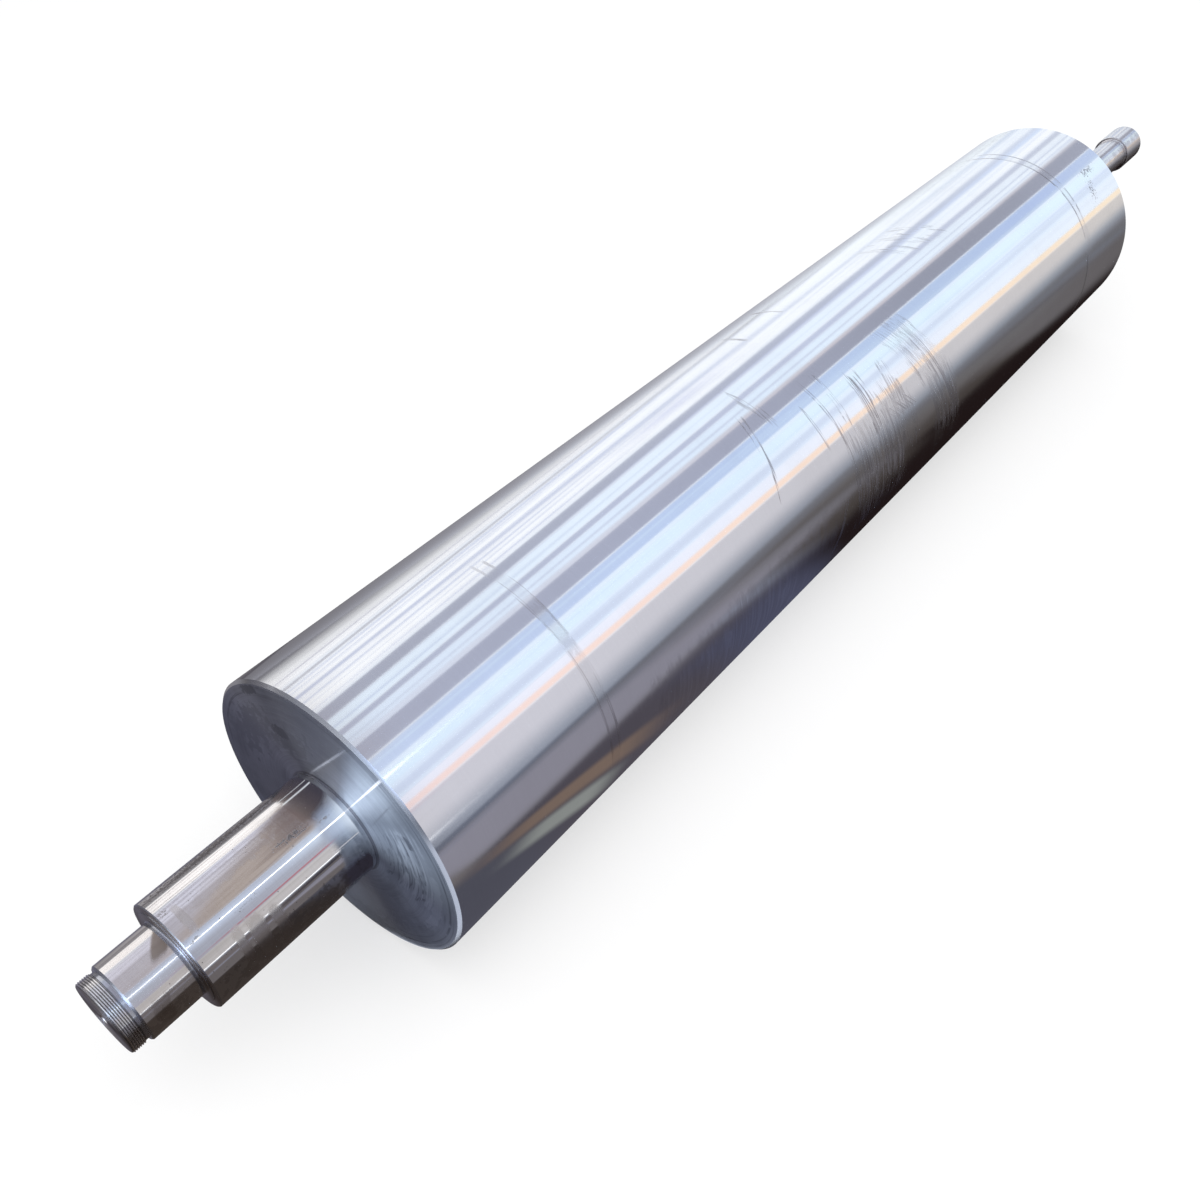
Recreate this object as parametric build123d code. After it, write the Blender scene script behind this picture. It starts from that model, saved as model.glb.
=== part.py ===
"""Chrome plated roller, turned from one piece of steel and lying along X.

The origin is the middle of the barrel, on the roller's axis. The short threaded end
points to -X and the drive end to +X. All sizes are in millimetres.

Each end is an outline of (out, radius) points: out is the distance from the barrel's
flat face, away from the barrel, and radius is measured from the roller's axis. The two
outlines close into one section, which is revolved about X.
"""

import os
from math import radians, tan

from build123d import *

# Barrel, the plated and ground working surface
BARREL_DIAMETER = 325.0
BARREL_LENGTH = 1600.0
BARREL_EDGE_CHAMFER = 3.0

# Bearing seat, the same at both ends
SEAT_DIAMETER = 80.0
SEAT_LENGTH = 55.0
SEAT_EDGE_CHAMFER = 1.5
SEAT_UNDERCUT_DEPTH = 0.4
SEAT_UNDERCUT_WIDTH = 4.0
SEAT_UNDERCUT_RAMP_ANGLE = 15.0
SEAT_ROOT_RADIUS = 1.2

# Abutment, the raised land that the bearing's inner ring is pushed against
ABUTMENT_HEIGHT = 9.0
ABUTMENT_STEP = 1.0

# Journal between the barrel and the bearing seat
JOURNAL_SHOULDER_HEIGHT = 17.5
JOURNAL_LENGTH = 180.0
JOURNAL_EDGE_CHAMFER = 1.0
JOURNAL_ROOT_RADIUS = 2.0

# Lock nut thread beyond the seat, drawn at its outer diameter, THREAD_DROP below the seat
THREAD_DROP = 2.5
THREAD_PITCH = 2.0
THREAD_LENGTH = 12.0
THREAD_RUNOUT_WIDTH = 5.0
THREAD_RUNOUT_RADIUS = 0.8

# Drive end, a neck and a collar that the bearing and its nut pass over
COLLAR_CLEARANCE = 3.5
COLLAR_LENGTH = 71.0
COLLAR_EDGE_CHAMFER = 3.0
COLLAR_BACK_CHAMFER = 1.0
NECK_DEPTH = 5.0
NECK_LENGTH = 127.0
NECK_ROOT_RADIUS = 2.0

# Centre hole in each end, for turning and grinding between centres
CENTRE_MOUTH_DIAMETER = 10.6
CENTRE_PILOT_DIAMETER = 5.0
CENTRE_PILOT_LENGTH = 6.0
CENTRE_CONE_ANGLE = 60.0
DRILL_POINT_ANGLE = 118.0

# Share of the pitch by which a thread's runout groove and end chamfer go below its crest
THREAD_RELIEF_PER_PITCH = 0.75

barrel_radius = BARREL_DIAMETER / 2
seat_radius = SEAT_DIAMETER / 2
abutment_radius = seat_radius + ABUTMENT_HEIGHT
journal_radius = seat_radius + JOURNAL_SHOULDER_HEIGHT
thread_radius = seat_radius - THREAD_DROP
thread_relief = THREAD_RELIEF_PER_PITCH * THREAD_PITCH
runout_radius = thread_radius - thread_relief
collar_radius = runout_radius - COLLAR_CLEARANCE
neck_radius = collar_radius - NECK_DEPTH

shoulder_out = JOURNAL_LENGTH
abutment_out = shoulder_out + ABUTMENT_STEP
seat_out = shoulder_out + SEAT_LENGTH
thread_start_out = seat_out + THREAD_RUNOUT_WIDTH
thread_out = thread_start_out + THREAD_LENGTH
neck_out = thread_out + NECK_LENGTH
collar_out = neck_out + COLLAR_LENGTH


def edge(out, radius, chamfer):
    """Two points that cut a chamfer off an edge facing away from the barrel."""
    return [(out - chamfer, radius), (out, radius - chamfer)]


def barrel_end():
    """The barrel's chamfered edge and the foot of its flat face."""
    return edge(0, barrel_radius, BARREL_EDGE_CHAMFER) + [(0, journal_radius)]


def journal():
    """The journal's chamfered shoulder and the abutment land on its face."""
    land = [(shoulder_out, abutment_radius), (abutment_out, abutment_radius)]
    return edge(shoulder_out, journal_radius, JOURNAL_EDGE_CHAMFER) + land


def bearing_seat():
    """The undercut that clears the bearing's corner, then the ground seat."""
    undercut_radius = seat_radius - SEAT_UNDERCUT_DEPTH
    undercut_out = abutment_out + SEAT_UNDERCUT_WIDTH
    ramp = SEAT_UNDERCUT_DEPTH / tan(radians(SEAT_UNDERCUT_RAMP_ANGLE))
    undercut = [(abutment_out, undercut_radius), (undercut_out - ramp, undercut_radius)]
    return undercut + [(undercut_out, seat_radius)] + edge(seat_out, seat_radius, SEAT_EDGE_CHAMFER)


def lock_nut_thread():
    """The runout groove and the thread's outer diameter, chamfered at both ends."""
    groove = [(seat_out, runout_radius), (thread_start_out - thread_relief, runout_radius)]
    return groove + [(thread_start_out, thread_radius)] + edge(thread_out, thread_radius, thread_relief)


def drive_end():
    """The neck and the collar beyond the far thread."""
    neck = [(thread_out, neck_radius), (neck_out, neck_radius)]
    back = [(neck_out, collar_radius - COLLAR_BACK_CHAMFER), (neck_out + COLLAR_BACK_CHAMFER, collar_radius)]
    return neck + back + edge(collar_out, collar_radius, COLLAR_EDGE_CHAMFER)


def centre_hole(face_out):
    """A 60 degree countersink and its pilot hole, sunk from an end face to the axis."""
    mouth_radius = CENTRE_MOUTH_DIAMETER / 2
    pilot_radius = CENTRE_PILOT_DIAMETER / 2
    cone_depth = (mouth_radius - pilot_radius) / tan(radians(CENTRE_CONE_ANGLE / 2))
    point_depth = pilot_radius / tan(radians(DRILL_POINT_ANGLE / 2))
    cone_floor = face_out - cone_depth
    pilot_floor = cone_floor - CENTRE_PILOT_LENGTH
    return [
        (face_out, mouth_radius),
        (cone_floor, pilot_radius),
        (pilot_floor, pilot_radius),
        (pilot_floor - point_depth, 0),
    ]


def placed(outline, side):
    """An outline's points in the section's plane, on the side given by -1 or +1."""
    return [(side * (BARREL_LENGTH / 2 + out), radius) for out, radius in outline]


def rounded(section, side, corners):
    """The section with a radius in each inner corner of one side."""
    for out, radius, rounding in corners:
        [(x, y)] = placed([(out, radius)], side)
        section = fillet(section.vertices().sort_by_distance((x, y))[0], rounding)
    return section


def roller():
    """The whole roller, revolved from its section."""
    shared = barrel_end() + journal() + bearing_seat() + lock_nut_thread()
    near = placed(shared + centre_hole(thread_out), -1)
    far = placed(shared + drive_end() + centre_hole(collar_out), 1)
    section = make_face(Polyline(*near, *reversed(far), close=True))

    shared_corners = [
        (0, journal_radius, JOURNAL_ROOT_RADIUS),
        (abutment_out, seat_radius - SEAT_UNDERCUT_DEPTH, SEAT_ROOT_RADIUS),
        (seat_out, runout_radius, THREAD_RUNOUT_RADIUS),
    ]
    drive_corners = [(thread_out, neck_radius, NECK_ROOT_RADIUS), (neck_out, neck_radius, NECK_ROOT_RADIUS)]
    section = rounded(section, -1, shared_corners)
    section = rounded(section, 1, shared_corners + drive_corners)
    return revolve(Plane.XZ * section, Axis.X)


os.makedirs("parts", exist_ok=True)
export_step(roller(), "parts/roller.step")
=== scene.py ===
"""Chrome plated roller, turned from one piece of steel, seen as in the photograph.

X runs along the roller's axis, from the threaded end at -X to the drive end at +X, and the
origin is the middle of the barrel. Lengths are metres. A place on an end is given by how far
out it lies from the barrel's flat face. A place round the roller is given by its angle from
the side that faces the camera, growing towards the lower front.
"""

import logging
from dataclasses import dataclass, field
from enum import Enum
from math import cos, pi, radians, sin, tan
from typing import Callable, Iterable, Union

import bpy
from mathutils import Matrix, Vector


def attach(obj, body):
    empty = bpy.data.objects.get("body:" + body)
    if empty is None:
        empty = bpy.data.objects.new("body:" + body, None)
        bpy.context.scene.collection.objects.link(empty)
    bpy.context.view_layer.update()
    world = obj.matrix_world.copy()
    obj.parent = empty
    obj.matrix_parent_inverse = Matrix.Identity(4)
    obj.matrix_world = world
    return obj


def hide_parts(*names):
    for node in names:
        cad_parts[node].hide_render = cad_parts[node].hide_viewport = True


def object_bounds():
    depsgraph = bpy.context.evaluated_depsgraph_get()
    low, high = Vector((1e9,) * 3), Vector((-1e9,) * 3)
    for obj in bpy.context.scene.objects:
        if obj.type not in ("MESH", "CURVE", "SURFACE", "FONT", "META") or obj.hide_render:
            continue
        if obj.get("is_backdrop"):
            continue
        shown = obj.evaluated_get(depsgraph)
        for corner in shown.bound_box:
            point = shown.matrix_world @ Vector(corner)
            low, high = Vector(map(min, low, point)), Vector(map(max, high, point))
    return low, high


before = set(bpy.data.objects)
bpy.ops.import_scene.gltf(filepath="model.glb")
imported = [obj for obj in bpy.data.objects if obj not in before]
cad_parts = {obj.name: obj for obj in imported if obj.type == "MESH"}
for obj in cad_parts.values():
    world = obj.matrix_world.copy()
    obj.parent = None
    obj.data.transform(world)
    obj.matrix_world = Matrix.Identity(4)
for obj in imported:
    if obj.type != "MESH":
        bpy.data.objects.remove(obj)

LOG = logging.getLogger("roller")
FLOOR_Z = -0.1625

# The side that faces the camera, in degrees round X from +Y
CAMERA_ANGLE = 123.4

# How much brighter than its colour a card and the tent are in the metal
GLOW = 1.2

Colour = tuple[float, float, float]
Levels = tuple[float, float, float]
Feed = Union[float, tuple, bpy.types.NodeSocket]


class Side(Enum):
    """The end of the roller that a section lies on."""

    NEAR = -1
    FAR = 1


class Bench:
    """Adds and links the nodes of one node tree."""

    def __init__(self, tree: bpy.types.NodeTree) -> None:
        """Takes the tree to work on.

        Args:
            tree: A material's, a world's or a group's node tree.
        """
        self.tree = tree

    @classmethod
    def cleared(cls, owner: bpy.types.ID) -> "Bench":
        """Empties the node tree of a material or a world and takes it.

        Args:
            owner: The material or the world.

        Returns:
            The bench for its tree.
        """
        owner.use_nodes = True
        owner.node_tree.nodes.clear()
        return cls(owner.node_tree)

    def feed(self, socket: bpy.types.NodeSocket, value: Feed) -> None:
        """Links a socket to another, or sets it.

        Args:
            socket: The input to feed.
            value: An output socket, a number, a colour or a vector.
        """
        if isinstance(value, bpy.types.NodeSocket):
            self.tree.links.new(value, socket)
        elif socket.type == "RGBA":
            socket.default_value = (*value, 1.0)
        else:
            socket.default_value = value

    def add(self, kind: str, inputs: dict | None = None, **settings: object) -> bpy.types.Node:
        """Adds a node.

        Args:
            kind: The node's type name.
            inputs: What each named or numbered input gets.
            **settings: The node's own options.

        Returns:
            The new node.
        """
        node = self.tree.nodes.new(kind)
        for name, value in settings.items():
            setattr(node, name, value)
        for name, value in (inputs or {}).items():
            self.feed(node.inputs[name], value)
        return node

    def math(self, operation: str, *values: Feed, clamp: bool = False) -> bpy.types.NodeSocket:
        """The result of a Math node.

        Args:
            operation: The node's operation.
            *values: One to three numbers or sockets.
            clamp: Whether the result is kept between 0 and 1.

        Returns:
            The value socket.
        """
        node = self.add("ShaderNodeMath", dict(enumerate(values)), operation=operation, use_clamp=clamp)
        return node.outputs[0]

    def ease(self, value: Feed, low: Feed, high: Feed) -> bpy.types.NodeSocket:
        """A smooth step that is 0 at low and 1 at high.

        Args:
            value: What is compared.
            low: Where the step starts.
            high: Where the step ends.

        Returns:
            The eased value socket.
        """
        inputs = {"Value": value, "From Min": low, "From Max": high}
        return self.add("ShaderNodeMapRange", inputs, interpolation_type="SMOOTHSTEP").outputs[0]

    def mix(self, share: Feed, start: Feed, end: Feed, blend: str = "MIX") -> bpy.types.NodeSocket:
        """Two colours mixed.

        Args:
            share: How much of the second colour shows.
            start: The first colour.
            end: The second colour.
            blend: How they are combined.

        Returns:
            The colour socket.
        """
        node = self.add("ShaderNodeMix", data_type="RGBA", blend_type=blend)
        for index, value in ((0, share), (6, start), (7, end)):
            self.feed(node.inputs[index], value)
        return node.outputs[2]

    def between(self, share: Feed, start: Feed, end: Feed) -> bpy.types.NodeSocket:
        """Two numbers mixed.

        Args:
            share: How much of the second number counts.
            start: The first number.
            end: The second number.

        Returns:
            The value socket.
        """
        node = self.add("ShaderNodeMix", {0: share, 2: start, 3: end}, data_type="FLOAT")
        return node.outputs[0]

    def vector(self, x: Feed, y: Feed, z: Feed) -> bpy.types.NodeSocket:
        """Three numbers as one vector."""
        return self.add("ShaderNodeCombineXYZ", {0: x, 1: y, 2: z}).outputs[0]

    def noise(
        self, place: Feed, scale: Feed, detail: float = 2.0, rough: float = 0.5
    ) -> bpy.types.NodeSocket:
        """Smooth noise between 0 and 1.

        Args:
            place: The point that is looked up.
            scale: Waves per unit.
            detail: How many finer layers are added.
            rough: How strong the finer layers are.

        Returns:
            The value socket.
        """
        inputs = {"Vector": place, "Scale": scale, "Detail": detail, "Roughness": rough}
        return self.add("ShaderNodeTexNoise", inputs).outputs["Fac"]

    def effect(self, name: str, inputs: dict[str, Feed]) -> bpy.types.bpy_prop_collection:
        """Places one of the shared effects.

        Args:
            name: The node group's name.
            inputs: What its inputs get.

        Returns:
            The group node's outputs, by name.
        """
        return self.add("ShaderNodeGroup", inputs, node_tree=bpy.data.node_groups[name]).outputs


@dataclass(frozen=True)
class Effect:
    """A shared effect as a node group.

    Attributes:
        name: The group's name.
        takes: Input names with their defaults; a tuple makes a vector input.
        gives: Output names, all of them plain values.
        wire: Builds the inside from the inputs and returns the outputs by name.
    """

    name: str
    takes: dict[str, Feed]
    gives: tuple[str, ...]
    wire: Callable[[Bench, dict], dict]

    def build(self) -> None:
        """Makes the node group."""
        tree = bpy.data.node_groups.new(self.name, "ShaderNodeTree")
        for name, value in self.takes.items():
            kind = "NodeSocketVector" if isinstance(value, tuple) else "NodeSocketFloat"
            socket = tree.interface.new_socket(name, in_out="INPUT", socket_type=kind)
            socket.default_value = value
        for name in self.gives:
            tree.interface.new_socket(name, in_out="OUTPUT", socket_type="NodeSocketFloat")
        bench = Bench(tree)
        given = bench.add("NodeGroupInput").outputs
        result = self.wire(bench, {name: given[name] for name in self.takes})
        bench.add("NodeGroupOutput", result)


def wire_turned_place(bench: Bench, given: dict) -> dict:
    """Where a point lies on the roller: along it, round it and out from its axis.

    Args:
        bench: The group's bench.
        given: Place, the point in object coordinates.

    Returns:
        Along in metres, Around in radians from the camera's side, and Radius in metres.
    """
    back = (-radians(CAMERA_ANGLE), 0.0, 0.0)
    turned = bench.add("ShaderNodeMapping", {"Vector": given["Place"], "Rotation": back}).outputs[0]
    x, y, z = bench.add("ShaderNodeSeparateXYZ", {0: turned}).outputs
    squares = bench.math("MULTIPLY_ADD", y, y, bench.math("MULTIPLY", z, z))
    return {
        "Along": x,
        "Around": bench.math("ARCTAN2", z, y),
        "Radius": bench.math("SQRT", squares),
    }


def wire_tool_lines(bench: Bench, given: dict) -> dict:
    """Fine lines left by a turning tool or a grinding wheel.

    Args:
        bench: The group's bench.
        given: Across, the distance across the lines; Place, the point; Spacing, the lines'
            width; and Change, how fast they change along their length.

    Returns:
        Lines, between 0 and 1.
    """
    _, y, z = bench.add("ShaderNodeSeparateXYZ", {0: given["Place"]}).outputs
    across = bench.math("DIVIDE", given["Across"], given["Spacing"])
    place = bench.vector(across, *(bench.math("MULTIPLY", side, given["Change"]) for side in (y, z)))
    return {"Lines": bench.noise(place, 1.0, detail=3.0, rough=0.65)}


# A scratch's path bends this often in a radian, and its gaps come this often in a metre and a radian
SCRATCH_BENDS = 1.3
GAPS_PER_METRE = 70.0
GAPS_PER_RADIAN = 5.0

# The level of the gaps' noise above which a scratch shows: at no cover, and how far it falls to full
NO_COVER_LEVEL = 0.68
COVER_FALL = 0.4
GAP_SOFTNESS = 0.12

# How far a patch's outline wanders, as a share of its half size, and where the outlines fade
SCRATCH_WANDER = 0.9
SCRATCH_EDGE = (0.7, 1.0)
STAIN_EDGE = (0.7, 1.05)
SPECK_EDGE = (0.12, 0.3)

# An ellipse's power is 2, and a higher one makes a stain squarer
STAIN_POWER = 4.0


def offsets(bench: Bench, given: dict) -> tuple[bpy.types.NodeSocket, bpy.types.NodeSocket]:
    """How far a point lies from the middle of a leaning mark.

    Args:
        bench: The group's bench.
        given: Along and Around of the point; Middle, Turn and Lean of the mark.

    Returns:
        The distance along in metres and round in radians.
    """
    turn = bench.math("SUBTRACT", given["Around"], given["Turn"])
    leaning = bench.math("MULTIPLY", turn, given["Lean"])
    along = bench.math("SUBTRACT", bench.math("SUBTRACT", given["Along"], given["Middle"]), leaning)
    return along, turn


def wire_scratch_patch(bench: Bench, given: dict) -> dict:
    """A patch of hairline scratches that run round the roller, leaning a little.

    Args:
        bench: The group's bench.
        given: Along and Around of the point; the patch's Middle, Turn, Half Length and Half
            Turn; Lean, in metres along for each radian round; Spacing of the scratches;
            Width, their share of the spacing; Cover, the share of them that shows; and Seed.

    Returns:
        Mask, between 0 and 1.
    """
    along, turn = offsets(bench, given)
    across = bench.math("DIVIDE", along, given["Spacing"])
    place = bench.vector(across, bench.math("MULTIPLY", turn, SCRATCH_BENDS), given["Seed"])
    offset = bench.math("ABSOLUTE", bench.math("SUBTRACT", bench.noise(place, 1.0), 0.5))
    shown = bench.math("SUBTRACT", 1.0, bench.ease(offset, 0.0, given["Width"]))
    gaps_along = bench.math("MULTIPLY", along, GAPS_PER_METRE)
    place = bench.vector(gaps_along, bench.math("MULTIPLY", turn, GAPS_PER_RADIAN), given["Seed"])
    gate = bench.noise(place, 1.0, detail=3.0, rough=0.6)
    needed = bench.math("MULTIPLY_ADD", given["Cover"], -COVER_FALL, NO_COVER_LEVEL)
    open_gate = bench.ease(gate, needed, bench.math("ADD", needed, GAP_SOFTNESS))
    shown = bench.math("MULTIPLY", shown, open_gate)
    for distance, half in ((along, given["Half Length"]), (turn, given["Half Turn"])):
        reach = bench.math("DIVIDE", bench.math("ABSOLUTE", distance), half)
        wander = bench.math("MULTIPLY_ADD", gate, SCRATCH_WANDER, -SCRATCH_WANDER / 2)
        past = bench.ease(bench.math("ADD", reach, wander), *SCRATCH_EDGE)
        shown = bench.math("MULTIPLY", shown, bench.math("SUBTRACT", 1.0, past))
    return {"Mask": shown}


def wire_blotch(bench: Bench, given: dict) -> dict:
    """A stain with ragged edges.

    Args:
        bench: The group's bench.
        given: Place of the point, with its Along and Around; the stain's Middle, Turn, Half
            Length, Half Turn and Lean; Ragged, how uneven its edge is; Grain, its waves per
            metre; and Sparse, how far it breaks up.

    Returns:
        Mask, between 0 and 1.
    """
    along, turn = offsets(bench, given)
    powers = [
        bench.math("POWER", bench.math("ABSOLUTE", bench.math("DIVIDE", distance, half)), STAIN_POWER)
        for distance, half in ((along, given["Half Length"]), (turn, given["Half Turn"]))
    ]
    reach = bench.math("POWER", bench.math("ADD", *powers), 1 / STAIN_POWER)
    reach = bench.math("ADD", reach, given["Sparse"])
    grain = bench.noise(given["Place"], given["Grain"], detail=4.0, rough=0.62)
    grain = bench.math("SUBTRACT", grain, 0.5)
    uneven = bench.math("MULTIPLY_ADD", grain, given["Ragged"], reach)
    return {"Mask": bench.math("SUBTRACT", 1.0, bench.ease(uneven, *STAIN_EDGE))}


def wire_specks(bench: Bench, given: dict) -> dict:
    """Scattered small specks of dirt.

    Args:
        bench: The group's bench.
        given: Place of the point, Scale in specks per metre, and Cover, the share of the
            cells that hold one.

    Returns:
        Mask, between 0 and 1.
    """
    cells = bench.add("ShaderNodeTexVoronoi", {"Vector": given["Place"], "Scale": given["Scale"]})
    chance = bench.add("ShaderNodeSeparateColor", {0: cells.outputs["Color"]}).outputs[0]
    held = bench.math("LESS_THAN", chance, given["Cover"])
    near = bench.math("SUBTRACT", 1.0, bench.ease(cells.outputs["Distance"], *SPECK_EDGE))
    return {"Mask": bench.math("MULTIPLY", held, near)}


EFFECTS = (
    Effect("Turned place", {"Place": (0.0, 0.0, 0.0)}, ("Along", "Around", "Radius"), wire_turned_place),
    Effect(
        "Tool lines",
        {"Across": 0.0, "Place": (0.0, 0.0, 0.0), "Spacing": 0.001, "Change": 8.0},
        ("Lines",),
        wire_tool_lines,
    ),
    Effect(
        "Scratch patch",
        {
            "Along": 0.0, "Around": 0.0, "Middle": 0.0, "Turn": 0.0, "Half Length": 0.05,
            "Half Turn": 0.5, "Lean": 0.0, "Spacing": 0.01, "Width": 0.06, "Cover": 0.5, "Seed": 0.0,
        },
        ("Mask",),
        wire_scratch_patch,
    ),
    Effect(
        "Blotch",
        {
            "Place": (0.0, 0.0, 0.0), "Along": 0.0, "Around": 0.0, "Middle": 0.0, "Turn": 0.0,
            "Half Length": 0.02, "Half Turn": 0.2, "Lean": 0.0, "Ragged": 0.8, "Grain": 60.0,
            "Sparse": 0.0,
        },
        ("Mask",),
        wire_blotch,
    ),
    Effect("Specks", {"Place": (0.0, 0.0, 0.0), "Scale": 150.0, "Cover": 0.1}, ("Mask",), wire_specks),
)


@dataclass(frozen=True)
class Mark:
    """A scratched, stained or smeared place on the roller's surface, or a place of painted shade or painted
    reflection.

    Attributes:
        middle: Its place along the roller, or out from the axis on a flat face.
        turn: Its angle from the camera's side, in degrees.
        half_length: Half its length along the roller.
        half_turn: Half its sweep round the roller, in degrees.
        strength: How strongly it shows.
        lean: Metres along for each radian round.
    """

    middle: float
    turn: float
    half_length: float
    half_turn: float
    strength: float = 1.0
    lean: float = 0.0

    def bounds(self) -> dict[str, Feed]:
        """The mark's place and reach as an effect's inputs.

        Returns:
            The inputs by name.
        """
        return {
            "Middle": self.middle, "Turn": radians(self.turn), "Half Length": self.half_length,
            "Half Turn": radians(self.half_turn), "Lean": self.lean,
        }

    def mask(self, bench: Bench, where: dict[str, Feed]) -> bpy.types.NodeSocket:
        """The mark's mask times its strength.

        Args:
            bench: The material's bench.
            where: Place, Along and Around of the point.

        Returns:
            The mask socket.
        """
        raise NotImplementedError


@dataclass(frozen=True)
class Scratches(Mark):
    """A patch of hairline scratches.

    Attributes:
        spacing: Distance between scratches.
        width: Share of the spacing that a scratch takes.
        cover: Share of the scratches that shows.
    """

    spacing: float = 0.01
    width: float = 0.06
    cover: float = 0.5

    def mask(self, bench: Bench, where: dict[str, Feed]) -> bpy.types.NodeSocket:
        """The scratches' mask times their strength.

        Args:
            bench: The material's bench.
            where: Place, Along and Around of the point.

        Returns:
            The mask socket.
        """
        inputs = {
            **self.bounds(), "Along": where["Along"], "Around": where["Around"], "Spacing": self.spacing,
            "Width": self.width, "Cover": self.cover, "Seed": self.middle * 10 + self.turn,
        }
        return bench.math("MULTIPLY", bench.effect("Scratch patch", inputs)["Mask"], self.strength)


@dataclass(frozen=True)
class Stain(Mark):
    """A stain or a smear, or a patch of painted shade or painted reflection.

    Attributes:
        ragged: How uneven its edge is.
        grain: Waves per metre in the edge.
        sparse: How far it breaks up into specks.
    """

    ragged: float = 0.9
    grain: float = 60.0
    sparse: float = 0.0

    def mask(self, bench: Bench, where: dict[str, Feed]) -> bpy.types.NodeSocket:
        """The stain's mask times its strength.

        Args:
            bench: The material's bench.
            where: Place, Along and Around of the point.

        Returns:
            The mask socket.
        """
        inputs = {**self.bounds(), **where, "Ragged": self.ragged, "Grain": self.grain, "Sparse": self.sparse}
        return bench.math("MULTIPLY", bench.effect("Blotch", inputs)["Mask"], self.strength)


# The broad lines are this many times as wide and as deep as the fine ones
BROAD_WIDTH = 12
BROAD_DEPTH = 3.0

# Waves of the cloudiness in a metre, where its edges lie, and how far it roughens a surface
CLOUDS_PER_METRE = 9.0
CLOUD_EDGE = (0.35, 0.75)
CLOUD_ROUGHENS = 0.2

# Cells in a metre, a share of which holds a speck
SPECKS_PER_METRE = 380.0

# In turns: lays the stretch of the highlights across the tool's lines
QUARTER_TURN = 0.25


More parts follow.
